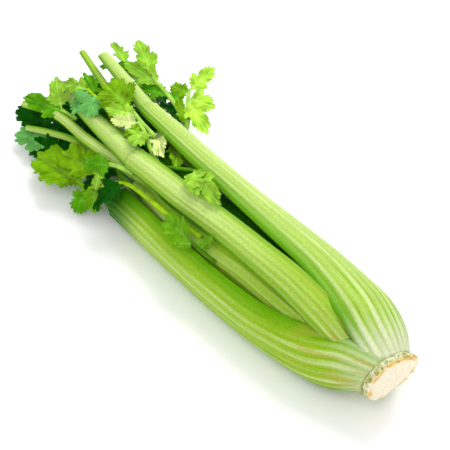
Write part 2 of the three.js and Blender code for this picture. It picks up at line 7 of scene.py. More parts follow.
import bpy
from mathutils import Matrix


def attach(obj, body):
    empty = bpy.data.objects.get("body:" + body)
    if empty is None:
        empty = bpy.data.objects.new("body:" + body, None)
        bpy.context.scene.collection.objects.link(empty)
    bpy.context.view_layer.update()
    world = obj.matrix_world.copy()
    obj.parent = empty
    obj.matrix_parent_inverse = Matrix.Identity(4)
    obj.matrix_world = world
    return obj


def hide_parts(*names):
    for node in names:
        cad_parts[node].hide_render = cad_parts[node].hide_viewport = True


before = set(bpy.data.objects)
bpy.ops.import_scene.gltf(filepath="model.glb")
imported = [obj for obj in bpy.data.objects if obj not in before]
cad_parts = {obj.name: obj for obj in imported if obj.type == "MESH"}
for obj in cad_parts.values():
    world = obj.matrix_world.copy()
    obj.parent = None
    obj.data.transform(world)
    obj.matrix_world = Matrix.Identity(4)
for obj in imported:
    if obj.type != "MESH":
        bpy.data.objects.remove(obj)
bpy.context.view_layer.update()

import math
from collections import namedtuple
from functools import partial

import bmesh
import bpy
import numpy as np
from bpy.props import FloatProperty, FloatVectorProperty, PointerProperty
from mathutils import Color, Vector

bl_info = {
    "name": "Head of celery",
    "version": (1, 0, 0),
    "blender": (4, 5, 0),
    "location": "3D View > Sidebar > Celery",
    "description": "Ribbed stalks, cut butt and toothed leaves of a head of celery lying on its side",
    "category": "Object",
}

MM = 0.001

# ---- tables ----
# A stalk: the route's row where the leaf stems part; widths at the butt, the bulge, under the node, over the
# node and at the cut top; half of the section's arc at the butt and the bulge, in degrees; how thick it is;
# its ribs; its look; and its route, rows of a point of the outer crown and the way that its ribbed face looks
# there, in degrees from +Z towards +Y. Its look: youth (0 on a green outer stalk, 1 on the palest of the
# heart), how much the ribs show, how bleached the foot is, the strength of the pale band of painted
# highlight, its middle and its spread as shares of the half width, the stretch (from and to, in mm from the
# butt) that is painted dark green as shade, (0, 0) for none, the points to a rib, and the step between rings.
Stalk = namedtuple("Stalk", "node widths wraps thick ribs look route")
STALKS = {
    "stalk_right": Stalk(
        8, (36, 54, 20, 15, 10), (60, 46), 7.5, 9, (0.35, 0.9, 1, 0.85, 0.3, 0.75, (0, 0), 10, 1.6), [
        (188.1, 9.5, 51, 22), (170, 16, 57, 20), (142, 23.5, 62, 26), (100, 28, 61, 32), (56, 27, 61, 34),
        (15, 26, 60, 36), (-30, 25, 60, 34), (-70, 25, 60, 30), (-98, 24, 61, 25), (-130, 28, 61, 20),
        (-162, 32, 61, 20),
    ]),
    "stalk_left": Stalk(
        7, (33, 48, 36, 15, 13), (54, 56), 7.5, 8, (0, 0.8, 0.6, 0.35, 0.1, 0.3, (214, 400), 10, 1.6), [
        (184.2, -17, 42, -64), (165, -26, 38, -72), (140, -36, 30, -84), (100, -42, 23.5, -92),
        (56, -44, 21, -94), (6, -44, 20, -94), (-35, -43, 19.5, -92), (-66, -42, 20, -90),
        (-84, -37, 17, -96),
    ]),
    "stalk_far": Stalk(
        7, (28, 38, 24, 13, 9), (46, 50), 7, 6, (0.05, 0.8, 0.9, 0.5, 0, 0.4, (0, 0), 8, 2.4), [
        (185.6, 18.5, 27, 112), (171, 28, 24, 104), (142, 37, 19.5, 101), (100, 41, 17.5, 100),
        (50, 41, 17, 99), (0, 40, 18, 97), (-45, 40, 21, 94), (-76, 39, 27, 88), (-105, 41, 30, 84),
        (-135, 46, 34, 80),
    ]),
    "stalk_under": Stalk(
        7, (31, 40, 24, 15, 10), (48, 50), 7, 6, (0, 0.8, 0.6, 0.5, 0, 0.4, (260, 400), 8, 2.4), [
        (181.7, -3, 14.2, 184), (168, -1, 8, 182), (140, 0, 1, 180), (100, 0, -0.6, 180), (50, 0, -0.8, 180),
        (0, 0, -0.8, 180), (-50, 0, -0.4, 180), (-90, -1, 1, 181), (-120, -3, 4, 184), (-150, -8, 7, 190),
    ]),
    "stalk_top": Stalk(
        8, (16, 25, 18, 17, 9), (60, 58), 7, 6, (0.05, 0.6, 0.3, 0.85, 0.05, 0.5, (0, 0), 10, 1.6), [
        (172, -6, 43, -16), (156, -10, 51, -20), (132, -13, 63, -24), (100, -14, 68, -25),
        (70, -15, 67.5, -26), (30, -16, 66, -27), (-10, -18, 63.5, -28), (-42, -19, 62, -28),
        (-66, -20, 61, -28), (-100, -17, 57, -30), (-130, -13, 52, -32), (-160, -7, 46, -34),
    ]),
    "stalk_mid_left": Stalk(
        7, (14, 24, 17, 10, 8), (60, 52), 6, 5, (0, 0.6, 0.3, 0.5, 0, 0.3, (0, 0), 8, 2), [
        (174, -9, 41, -45), (157, -18, 44, -50), (130, -23.5, 47, -50), (95, -24.5, 47.5, -50),
        (60, -25, 47, -52), (25, -28, 44, -58), (-18, -28, 38, -62), (-48, -23, 35, -58), (-62, -21, 33, -56),
    ]),
    "stalk_mid_top": Stalk(
        9, (12, 17, 7, 6.5, 5.5), (60, 52), 4.5, 5, (0.05, 0.5, 0.3, 0.9, 0.1, 0.45, (0, 0), 8, 2), [
        (172, -4, 45, -12), (155, -8, 50, -20), (130, -11, 53, -28), (95, -10, 53, -26), (60, -10, 52, -22),
        (20, -11, 50, -22), (-30, -15, 48, -26), (-73, -22, 46, -30), (-112, -25, 43, -34),
        (-153, -24, 38, -40), (-184, -32, 31, -36),
    ]),
    "stalk_mid_right": Stalk(
        7, (12, 19, 14, 9, 6), (60, 54), 6, 5, (0, 0.6, 0.3, 0.1, 0, 0.3, (60, 280), 8, 2), [
        (172, 8, 42, 20), (155, 12, 48, 16), (130, 13, 51, 12), (95, 11, 52, 8), (55, 10, 52, 6),
        (10, 8, 51, 4), (-40, 6, 50, 2), (-85, 9, 50, 6), (-120, 13, 51, 14), (-152, 20, 51, 20),
        (-183, 27, 51, 24),
    ]),
    "stalk_inner_far": Stalk(
        6, (12, 24, 15, 9, 7), (60, 50), 6, 4, (0.2, 0.6, 0.3, 0.5, 0, 0.4, (0, 0), 6, 3), [
        (172, 9, 26, 135), (150, 18, 19, 140), (110, 21, 16, 142), (60, 21, 16, 142), (10, 21, 17, 140),
        (-40, 22, 19, 135), (-85, 24, 21, 130), (-120, 27, 22, 126), (-152, 33, 22, 120),
    ]),
    "stalk_inner_left": Stalk(
        7, (12, 24, 12, 7, 5), (60, 50), 6, 4, (0.2, 0.6, 0.3, 0.5, 0, 0.4, (0, 0), 6, 3), [
        (172, -9, 26, -138), (150, -17, 19, -145), (110, -20, 16, -146), (60, -20, 16, -146),
        (10, -19, 17, -144), (-40, -19, 19, -138), (-90, -20, 23, -130), (-127, -24, 25, -110),
        (-152, -32, 22, -90), (-170, -40, 19, -80),
    ]),
    "heart_top": Stalk(5, (9, 14, 9, 9, 7), (60, 55), 5, 3, (0.5, 0.5, 0.3, 0.7, 0, 0.5, (0, 0), 6, 3), [
        (163, 1, 38, 0), (140, 2, 41, 0), (95, 1, 42, 0), (45, 1, 42, 0), (-5, 1, 41, 0), (-45, 3, 42, 5),
    ]),
    "heart_far": Stalk(5, (8, 13, 8, 8, 6), (60, 55), 5, 3, (0.8, 0.5, 0.3, 0.7, 0, 0.5, (0, 0), 6, 3), [
        (163, 6, 30, 120), (140, 10, 28, 120), (95, 11, 27, 118), (45, 11, 27, 118), (-5, 11, 28, 116),
        (-50, 12, 30, 110),
    ]),
    "heart_left": Stalk(5, (8, 13, 8, 8, 6), (60, 55), 5, 3, (0.8, 0.5, 0.3, 0.7, 0, 0.5, (0, 0), 6, 3), [
        (163, -5, 30, -120), (140, -9, 29, -122), (95, -10, 28, -122), (45, -10, 28, -120),
        (-5, -9, 29, -118), (-55, -8, 31, -110),
    ]),
}

# A spray is a leafy stem: the way its leaves face, its stems as (points, first and last radius, tint), and
# its leaves as (stem, place along it, tip, width, bend in degrees, teeth a side, tint). A width of 1 is the
# outline's own, and a tint is a letter of CeleryLeafLook.tints.
Spray = namedtuple("Spray", "facing stems leaves")
SPRAYS = {
    "leaves_near": Spray((0, -0.1, 1), [
        (((22, -26, 51), (-4, -29, 49), (-31, -30, 48), (-57, -31, 44), (-80, -38, 28), (-93, -44, 17)),
         (1.9, 1.7), "G"),
        (((-57, -31, 44), (-74, -34, 34), (-88, -33, 28)), (1.5, 1.2), "G"),
    ], [
        (0, 1, -147, -47, 13, 0.64, 15, 10, "y"), (1, 1, -131, -36, 22, 0.75, 20, 5, "y"),
        (0, 0.84, -76, -48, 10, 1, 60, 4, "o"), (0, 0.95, -88, -55, 4, 0.95, 50, 4, "g"),
        (1, 0.55, -100, -20, 19, 0.6, 30, 4, "d"), (0, 0.6, -66, -54, 24, 0.75, 45, 5, "d"),
        (1, 0.96, -102, -37, 12, 1, 20, 5, "d"),
    ]),
    "leaves_bud": Spray((0.3, -0.8, 0.4), [
        (((-58, -24, 50), (-72, -28, 49), (-85, -31, 43)), (1.9, 1.7), "L"),
    ], [
        (0, 1, -81, -41, 25, 0.6, 25, 5, "p"), (0, 0.6, -99, -38, 38, 0.7, 25, 5, "g"),
    ]),
    "leaves_left_tip": Spray((0.4, -0.5, 0.8), [
        (((-140, -14, 36), (-145, -17, 39), (-149, -20, 43)), (1.8, 1.3), "L"),
        (((-140, -14, 36), (-152, -18, 29), (-163, -23, 25)), (1.8, 1.2), "D"),
    ], [
        (0, 1, -165, -12, 60, 0.85, 20, 5, "p"), (0, 0.6, -186, -28, 33, 0.5, 20, 5, "g"),
        (1, 1, -191, -35, 18, 0.7, 20, 5, "d"), (1, 0.7, -178, -38, 16, 0.65, 15, 5, "d"),
    ]),
    "leaves_left_low": Spray((0.3, -0.4, 1), [
        (((-118, -22, 15), (-132, -27, 14), (-148, -33, 13)), (1.8, 1.2), "D"),
    ], [
        (0, 1, -181, -43, 7, 0.75, 15, 5, "b"), (0, 0.6, -164, -43, 6, 0.75, 25, 5, "d"),
        (0, 0.9, -171, -22, 7, 0.8, 25, 5, "d"), (0, 0.1, -168, -14, 19, 0.62, 20, 5, "d"),
    ]),
    "leaves_blue": Spray((0.4, -0.3, 0.9), [
        (((-112, 0, 47), (-126, 1, 53), (-141, -1, 58)), (1.8, 1.3), "G"),
    ], [
        (0, 0.75, -117, -20, 58, 0.95, 40, 5, "b"), (0, 0.96, -132, -22, 52, 0.7, 50, 5, "b"),
        (0, 1, -166, -6, 48, 0.6, 25, 5, "p"),
    ]),
    "leaves_mid": Spray((0.4, -0.3, 0.9), [
        (((-95, 0, 40), (-114, 3, 39), (-132, 8, 38)), (1.8, 1.3), "G"),
    ], [
        (0, 0.6, -152, 14, 46, 0.8, 20, 5, "d"), (0, 1, -163, 12, 50, 0.5, 20, 5, "g"),
        (0, 0.55, -150, 33, 33, 0.7, 20, 5, "d"),
    ]),
    "leaves_light": Spray((0.4, -0.2, 1), [
        (((-72, 8, 56), (-86, 7, 60), (-99, 8, 63)), (1.9, 1.5), "L"),
    ], [
        (0, 1, -130, 7, 66, 1, 20, 10, "l"), (0, 0.7, -110, -8, 66, 0.7, 30, 5, "p"),
    ]),
    "leaves_heart": Spray((0.5, -0.4, 0.8), [
        (((-45, -4, 47), (-60, -4, 56), (-74, 1, 62), (-85, 3, 64)), (1.8, 1.3), "L"),
    ], [
        (0, 0.7, -64, -17, 68, 1, 45, 5, "p"), (0, 1, -98, -12, 66, 0.7, 20, 5, "c"),
        (0, 0.85, -83, -12, 61, 0.6, 40, 5, "y"),
    ]),
    "leaves_gap": Spray((0.5, -0.4, 0.8), [
        (((-25, 18, 42), (-55, 18, 45), (-80, 17, 49)), (1.6, 1.2), "G"),
    ], [
        (0, 1, -48, -4, 61, 0.5, 20, 5, "c"), (0, 0.6, -36, -2, 58, 0.5, 20, 5, "y"),
        (0, 0.5, -84, 28, 36, 0.8, 25, 5, "d"), (0, 0.9, -124, 27, 34, 0.55, 20, 5, "d"),
    ]),
    "leaves_bright": Spray((0.3, -0.3, 1), [
        (((-48, -4, 51), (-30, -4, 64), (-12, 1, 72)), (1.6, 1.2), "D"),
    ], [
        (0, 1, 22, -8, 71, 0.5, 35, 5, "p"), (0, 0.9, 5, -14, 71, 0.8, 40, 5, "p"),
    ]),
    "leaves_shade": Spray((0.2, -0.8, 0.6), [
        (((42, -30, 44), (33, -33, 50), (22, -35, 53)), (1.4, 1.2), "D"),
    ], [
        (0, 1, -9, -33, 51, 0.75, 30, 5, "o"), (0, 0.9, 14, -42, 49, 0.7, 50, 5, "o"),
        (0, 0.6, 33, -24, 60, 0.7, 50, 5, "o"),
    ]),
    "leaves_right_top": Spray((0.4, -0.1, 0.9), [
        (((-74, 40, 43), (-96, 46, 47), (-123, 47, 54)), (2.2, 1.5), "L"),
    ], [
        (0, 1, -155, 57, 62, 0.45, 15, 9, "p"), (0, 0.82, -151, 43, 51, 0.5, 15, 5, "p"),
        (0, 0.62, -128, 36, 46, 0.6, 20, 5, "g"), (0, 0.45, -113, 62, 46, 0.6, 25, 5, "g"),
        (0, 0.25, -109, 42, 39, 0.7, 20, 5, "d"),
    ]),
    "leaves_right": Spray((0.6, -0.3, 0.7), [
        (((-70, 35, 44), (-77, 44, 49), (-85, 50, 54), (-92, 57, 58)), (2, 1.4), "L"),
    ], [
        (0, 1, -91, 81, 66, 0.65, 20, 5, "n"), (0, 0.9, -101, 48, 61, 0.9, 30, 5, "y"),
        (0, 0.7, -52, 42, 52, 0.55, 20, 5, "n"), (0, 0.78, -67, 61, 56, 0.95, 20, 5, "n"),
        (0, 0.12, -96, 49, 51, 0.4, 20, 5, "y"),
    ]),
    "leaves_far_tip": Spray((0.2, 0.2, 1), [
        (((-122, 38, 43), (-138, 41, 47), (-152, 43, 49)), (1.8, 1.3), "L"),
    ], [
        (0, 1, -177, 50, 49, 0.5, 20, 5, "p"), (0, 0.7, -166, 29, 45, 0.6, 20, 5, "g"),
    ]),
    "leaves_far": Spray((0, 0.8, 0.5), [
        (((-92, 46, 20), (-115, 51, 20), (-138, 53, 20)), (2, 1.3), "G"),
    ], [
        (0, 1, -178, 56, 18, 0.9, 20, 4, "d"), (0, 0.7, -150, 62, 38, 0.8, 30, 4, "d"),
        (0, 0.75, -150, 70, 4, 0.8, 30, 4, "d"), (0, 0.3, -118, 72, 4, 0.8, 40, 4, "d"),
        (0, 0.2, -116, 58, 36, 0.8, 30, 4, "d"),
    ]),
    "leaves_under": Spray((0, 0.1, 1), [
        (((-112, 14, 10), (-132, 15, 9), (-152, 14, 10)), (2, 1.3), "D"),
    ], [
        (0, 1, -190, 12, 8, 0.9, 15, 4, "d"), (0, 0.5, -152, 44, 5, 0.8, 25, 4, "d"),
        (0, 0.75, -176, -12, 15, 0.7, 25, 4, "d"), (0, 0.3, -146, -13, 11, 0.8, 25, 4, "d"),
    ]),
    "leaves_inner": Spray((0.2, -0.2, 1), [
        (((-100, 6, 31), (-125, 6, 30), (-148, 4, 31)), (2, 1.3), "G"),
    ], [
        (0, 1, -180, 5, 31, 0.75, 15, 5, "d"), (0, 0.6, -157, -12, 31, 0.7, 25, 5, "d"),
        (0, 0.65, -160, 26, 29, 0.8, 25, 5, "d"), (0, 0.15, -84, 10, 26, 1, 20, 5, "d"),
        (0, 0.2, -130, -14, 25, 0.7, 25, 5, "d"),
    ]),
}

# Half of a leaf's outline as shares of its length: along the midrib, across it, and where on the midrib the
# vein to this point starts. It is a short stalk, one side lobe, then half of the end lobe. Leaves of
# FAN_TEETH a side or more are fans, and the others are deeply lobed.
FAN_TEETH = 8
FAN = np.array([
    (0, 0.025, 0), (0.13, 0.035, 0.2), (0.2, 0.18, 0.24), (0.3, 0.33, 0.34), (0.4, 0.46, 0.34),
    (0.5, 0.5, 0.34), (0.59, 0.46, 0.34), (0.6, 0.33, 0.48), (0.76, 0.4, 0.48), (0.9, 0.26, 0.48),
    (1, 0, 0.48),
])
LOBED = np.array([
    (0, 0.025, 0), (0.13, 0.035, 0.14), (0.2, 0.27, 0.2), (0.3, 0.4, 0.24), (0.44, 0.46, 0.34),
    (0.48, 0.25, 0.34), (0.6, 0.31, 0.46), (0.72, 0.32, 0.46), (0.84, 0.24, 0.46), (0.92, 0.13, 0.46),
    (1, 0, 0.46),
])

# The cut's centre, how far it leans along x for each millimetre of y and of z, and the butt in rings:
# distance from the cut along x, and radius.
CUT = (192, 1.2, 34.3)
LEAN_Y, LEAN_Z = 0.1, 0.14
BUTT_PROFILE = np.array([
    (-26, 2.5), (-19, 9), (-11, 13), (-7.1, 14.5), (-6.5, 20), (-3.4, 21.2), (-0.9, 20.8), (0, 19.6),
])

# The rings that close a stalk's end: each one's size as a share of the last section, and how far out it is in
# mm. Then the points round each lip, those across the hollow face, and the steps that a route is measured in.
CAP_SIZES, CAP_REACH = np.array([0.93, 0.8, 0.5, 0.0]), np.array([0.35, 0.55, 0.5, 0.45])
CAP, LIP, INNER, MEASURED = len(CAP_SIZES), 5, 21, 600

# A leafy stem's points round and mm between rings, a blade's points from midrib to rim and to a blunt tooth,
# and the share of a tooth where it is longest, with its vein. Then the butt's points round, and its rings on
# the tail, on the band and rim, and on the cut face.
STEM_ROUND, STEM_STEP, BLADE_ROWS, TOOTH_POINTS, TOOTH_TOP = 20, 1.5, 9, 8, 0.61
BUTT_ROUND, TAIL_ROWS, BAND_ROWS, FACE_ROWS = 260, 12, 34, 26

# The first spray's seed, and how much further the next one's is.
SEED, SEED_STEP = 101, 37

# Metres within which two points of a mesh are one, and an edge's length is nothing.
SAME, NOTHING = 1e-6, 1e-7

# Where the camera looks, in metres, its azimuth and elevation in degrees, and its sensor's width in mm. The
# lamps: place in metres, share of the key light's power, and size in metres. Half of the floor's side.
TARGET, AZIMUTH, ELEVATION, SENSOR = Vector((0.017, 0.0005, 0.040)), 50, 48, 36
LAMPS = {"key": ((-0.3, 0.7, 1.1), 1, 0.8), "front": ((0.35, -0.7, 1.1), 0.55, 0.9)}
BOARD_REACH = 6.0


# ---- numbers ----
def linear(code):
    """The linear RGB of an sRGB hex colour such as #5DA81E: each share v is v / 12.92 up to 0.04045 and
    ((v + 0.055) / 1.055) to the power 2.4 over it."""
    v = np.array([int(code[i:i + 2], 16) for i in (1, 3, 5)]) / 255
    return tuple(np.where(v <= 0.04045, v / 12.92, ((v + 0.055) / 1.055) ** 2.4))


def smooth(v, low=0.0, high=1.0):
    """A soft step from 0 to 1 between low and high: u * u * (3 - 2 u), where u is v's clipped share."""
    u = np.clip((v - low) / (high - low), 0, 1)
    return u * u * (3 - 2 * u)


def bell(v, spread):
    """A bell curve of v: e to the power of -(v / spread) squared."""
    return np.exp(-(v / spread) ** 2)


def curve(points, t):
    """The uniform Catmull-Rom curve through the rows of points at each t of 0 to 1: a cubic between each two
    rows whose slope at a row is half the step between its neighbours. The ends are carried on straight."""
    p = np.asarray(points, float)
    p = np.vstack([2 * p[0] - p[1], p, 2 * p[-1] - p[-2]])
    place = np.clip(np.asarray(t, float), 0, 1) * (len(p) - 3)
    i = np.minimum(place.astype(int), len(p) - 4)
    f = (place - i)[:, None]
    a, b, c, d = p[i], p[i + 1], p[i + 2], p[i + 3]
    return b + 0.5 * f * (c - a + f * (2 * a - 5 * b + 4 * c - d + f * (3 * b - a - 3 * c + d)))


def unit(v):
    """Each row of v divided by its length."""
    return v / np.maximum(np.linalg.norm(v, axis=-1, keepdims=True), 1e-12)


def tangent(points, t):
    """The direction of the curve at each t, from a short step either way."""
    return unit(curve(points, np.minimum(t + 1e-4, 1)) - curve(points, np.maximum(t - 1e-4, 0)))


def square_to(v, along):
    """v without its part along the unit rows of along, at unit length."""
    return unit(v - (v * along).sum(-1, keepdims=True) * along)


def ripple(places, seed, waves=5):
    """Smooth uneven noise of about -1 to 1: the mean of a few sines of the columns of places, each with its
    own random rates and start, times 1.6."""
    rng = np.random.default_rng(seed)
    rates = rng.normal(0, 1, (waves, places.shape[-1]))
    starts = rng.uniform(0, 2 * np.pi, waves)
    return np.sin(places @ rates.T + starts).mean(-1) * 1.6


def stacked(*columns):
    """The arrays, spread to one shape, as the columns of points."""
    return np.stack(np.broadcast_arrays(*columns), -1)


# ---- meshes ----
def piece(name, surfaces, node, material):
    """One object from several surfaces. Each is (points in millimetres, quads as rows of four numbers of its
    own points, marks by attribute name). Points that coincide are merged, so seams and poles are closed. The
    object replaces that node and rides on the root body."""
    starts = np.cumsum([0] + [len(points) for points, _, _ in surfaces[:-1]])
    points = np.vstack([points for points, _, _ in surfaces]) * MM
    quads = np.vstack([quads + start for (_, quads, _), start in zip(surfaces, starts)])
    mesh = bpy.data.meshes.new(name)
    mesh.from_pydata(points, [], quads.tolist())
    for key in surfaces[0][2]:
        values = np.concatenate([marks[key] for _, _, marks in surfaces]).astype(np.float32)
        kind, field = ("FLOAT", "value") if values.shape[1] == 1 else ("FLOAT_VECTOR", "vector")
        mesh.attributes.new(key, kind, "POINT").data.foreach_set(field, values.ravel())
    made = bmesh.new()
    made.from_mesh(mesh)
    bmesh.ops.remove_doubles(made, verts=made.verts, dist=SAME)
    bmesh.ops.dissolve_degenerate(made, edges=made.edges, dist=NOTHING)
    made.to_mesh(mesh)
    made.free()
    mesh.polygons.foreach_set("use_smooth", np.ones(len(mesh.polygons), bool))
    mesh.materials.append(material)
    shown = bpy.data.objects.new(name, mesh)
    bpy.context.scene.collection.objects.link(shown)
    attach(shown, "root")
    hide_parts(node)


def grid(rows, columns, closed=False):
    """Quads between the neighbouring points of a grid, numbered row by row. A closed grid's last column joins
    its first."""
    i = np.arange(rows - 1)[:, None] * columns
    j = np.arange(columns if closed else columns - 1)[None, :]
    k = (j + 1) % columns
    return np.stack([i + j, i + k, i + k + columns, i + j + columns], -1).reshape(-1, 4)


def outward(points, quads):
    """The quads turned, if need be, so that the closed surface's volume is positive: the sum over its
    triangles of a . (b x c) / 6."""
    volume = 0
    for a, b, c in ((0, 1, 2), (0, 2, 3)):
        p, q, r = points[quads[:, a]], points[quads[:, b]], points[quads[:, c]]
        volume += (p * np.cross(q, r)).sum() / 6
    return quads if volume > 0 else quads[:, ::-1]


def spread_marks(shape, **marks):
    """Each mark's columns, spread over a grid of that shape, as a row of numbers for each of its points."""
    return {
        name: np.stack([np.broadcast_to(column, shape).ravel() for column in columns], -1)
        for name, columns in marks.items()
    }


def tube(points, **marks):
    """The surface (points, quads, marks) over a grid of points whose rows are closed rings."""
    shape = points.shape[:2]
    points = points.reshape(-1, 3)
    return points, outward(points, grid(*shape, closed=True)), spread_marks(shape, **marks)


# ---- stalks ----
def eased(t, keys):
    """The value at each t between rows of (place, value), whose corners a running mean over 0.018 rounds."""
    places, values = zip(*keys)
    return np.mean([np.interp(t + d, places, values) for d in np.linspace(-0.009, 0.009, 7)], 0)


def stalk_surface(spec, seed, sizes):
    """A ribbed stalk as (points, quads, marks). Round each ring runs a crescent: an arc of half angle w and
    radius width / (2 sin w), raised over each rib by the height times (half of 1 - cos of the way over the
    rib) to the power sharp; a round lip; the hollow inner face, which goes from lip to lip with its depth as
    the square of the way across; and the other lip. Rings stand square to the crown's curve, facing as the
    route says, and turn into the slanted cut plane near the butt. At the node the arc has a crease with a low
    bulge under it, each a bell curve of the distance. Both ends close in rings that shrink to a point."""
    youth, shown, bleach, highlight_band, highlight_middle, spread, dark, rib_points, step = spec.look
    rows, ribs, thick = np.array(spec.route, float), spec.ribs, spec.thick
    route, last = rows[:, :3], len(rows) - 1
    fine = np.linspace(0, 1, MEASURED)
    run = np.concatenate([[0], np.cumsum(np.linalg.norm(np.diff(curve(route, fine), axis=0), axis=1))])
    node = spec.node / last
    node_run = np.interp(node, fine, run)
    rings = np.concatenate([np.linspace(0, run[-1], int(run[-1] / step)), node_run + np.arange(-7, 5, 0.7)])
    t = np.interp(np.unique(np.round(np.clip(rings, 0, run[-1]), 2)), run, fine)
    at = np.interp(t, fine, run)
    past = at - node_run

    bulge, under, over = 2 / last, node - 0.03, node + 0.01
    base, full, neck, stem, tip = spec.widths
    foot, open_ = spec.wraps
    width = eased(t, [(0, base), (bulge, full), (under, neck), (over, stem), (1, tip)])
    wrap = np.radians(eased(t, [
        (0, foot), (1 / last, open_ + 10), (bulge, open_), (under, open_ + 8), (over, 72), (1, 76),
    ]))
    deep = -eased(t, [
        (0, 0.6 * thick), (bulge, thick), (under, thick), (over, min(thick, stem / 2)),
        (1, min(thick, tip / 2)),
    ])[:, None]
    radius = (width / 2 / np.sin(wrap))[:, None]
    wrap = wrap[:, None]

    # the arc, ribbed
    a = np.linspace(-1, 1, ribs * rib_points + 1)[None, :]
    place = stacked(at[:, None] / 60, a * 2.2)
    p = (a + 1) / 2 * ribs + 0.22 * ripple(place, seed) * (1 - a ** 8)
    ridge = (0.5 - 0.5 * np.cos(2 * np.pi * p)) ** sizes.rib_sharpness
    strength = np.random.default_rng(seed).uniform(0.55, 1.1, ribs + 2)[np.clip(p.astype(int), 0, ribs + 1)]
    over_node = smooth(past, -2, 3)[:, None]
    relief = sizes.rib_height * (0.4 + 0.6 * shown) * (1 - over_node) + sizes.stem_rib_height * over_node
    lift = relief / MM * ridge * strength + sizes.unevenness / MM * ripple(place * 1.7, seed + 50)
    crease = 0.8 * (bell(past + 3, 2.2) - bell(past, 0.9)) * np.minimum(width / 20, 1)
    r = radius + lift + crease[:, None] * (0.4 + 0.6 * (1 - a ** 4))
    arc = stacked(r * np.sin(wrap * a), r * np.cos(wrap * a) - radius)

    # the lips and the hollow face
    inside = np.maximum(radius - sizes.lip / MM, 0.4 * radius)
    across, drop = inside * np.sin(wrap), inside * np.cos(wrap) - radius
    turn = np.linspace(0, np.pi, LIP + 2)[None, 1:-1]
    middle, half = (r[:, -1:] + inside) / 2, (r[:, -1:] - inside) / 2
    out, off = middle + half * np.cos(turn), 0.8 * half * np.sin(turn)
    lip = stacked(out * np.sin(wrap) + off * np.cos(wrap), out * np.cos(wrap) - off * np.sin(wrap) - radius)
    q = np.linspace(1, -1, INNER)[None, :]
    inner = stacked(across * q, deep + (drop - deep) * q * q)
    section = np.concatenate([arc, lip, inner, lip[:, ::-1] * (-1, 1)], 1)

    # the rings in place
    at_foot = np.maximum(0, 1 - t * last)[:, None]
    along = tangent(route, t)
    along = unit(along + at_foot * ((-1, 0, 0) - along))
    facing = np.radians(curve(rows[:, 3:], t)[:, 0])
    out = square_to(stacked(0, np.sin(facing), np.cos(facing)), along)
    side = np.cross(along, out)
    crown = curve(route, t)
    points = crown[:, None] + section[..., :1] * side[:, None] + section[..., 1:] * out[:, None]
    lean = LEAN_Y * (points[..., 1] - crown[:, 1:2]) + LEAN_Z * (points[..., 2] - crown[:, 2:3])
    points[..., 0] += at_foot * lean

    # closed ends
    ends = []
    for ring, way in ((points[0], 0 * along[0]), (points[-1], along[-1])):
        centre = ring.mean(0)
        ends.append(centre + (ring - centre) * CAP_SIZES[:, None, None] + way * CAP_REACH[:, None, None])
    points = np.concatenate([ends[0][::-1], points, ends[1]])
    points[..., 2] = np.maximum(points[..., 2], 0)

    # what the skin's colour goes by: ribs show most near the butt and hardly above the node, and a soft pale
    # band of painted highlight, a bell curve of the way across, wanders a little and fades to a fifth of its
    # strength at the foot
    pale, hollow, cut = (np.zeros(points.shape[:2]) for _ in range(3))
    ribbed, edge_shade = pale + 0.5, pale + 1
    contrast = shown * (0.6 + 0.4 * smooth(at, 150, 20))[:, None] * (1 - 0.8 * over_node)
    ribbed[CAP:-CAP, :a.size] += (ridge * strength - 0.5) * contrast
    wander = 0.1 * ripple(place[:, :1], seed + 90)
    pale[CAP:-CAP, :a.size] = bell(a - highlight_middle - wander, spread + 0.05 * over_node)
    pale[CAP:-CAP] *= highlight_band * (0.2 + 0.8 * smooth(at, 50, 190))[:, None]
    # painted shade: the edge colour darkens the arc towards both long edges and covers the lips, the hollow
    # face and the closing rings
    edge_shade[:, :a.size] = np.abs(a)
    # painted shade: the stretch given in the look, and the whole hollow face, which lies in the gaps between
    # stalks, take the dark green
    hollow[CAP:-CAP] = (smooth(at, dark[0], dark[0] + 38) * smooth(at, dark[1], dark[1] - 25))[:, None]
    hollow[:, a.size + LIP:-LIP] = 1
    cut[1 - CAP:] = 1
    # the strand is the mm round and along the stalk, and a number of the stalk's own
    gaps = np.linalg.norm(np.diff(points[len(points) // 3], axis=0), axis=1)
    around = np.concatenate([[0], np.cumsum(gaps)])
    length = np.concatenate([[0] * CAP, at, [at[-1]] * CAP])[:, None]
    return tube(
        points, rib=(ribbed,), beyond_node=(length - node_run,), strand=(around, length, 37 * seed),
        skin=(hollow, cut, edge_shade), kind=(youth, bleach, pale),
    )


# ---- leafy stems ----
def seeded(seed):
    """A run of numbers between 0 and 1: each state is the last times 16807, modulo 2147483647."""
    state = seed
    while True:
        state = state * 16807 % 2147483647
        yield state / 2147483647


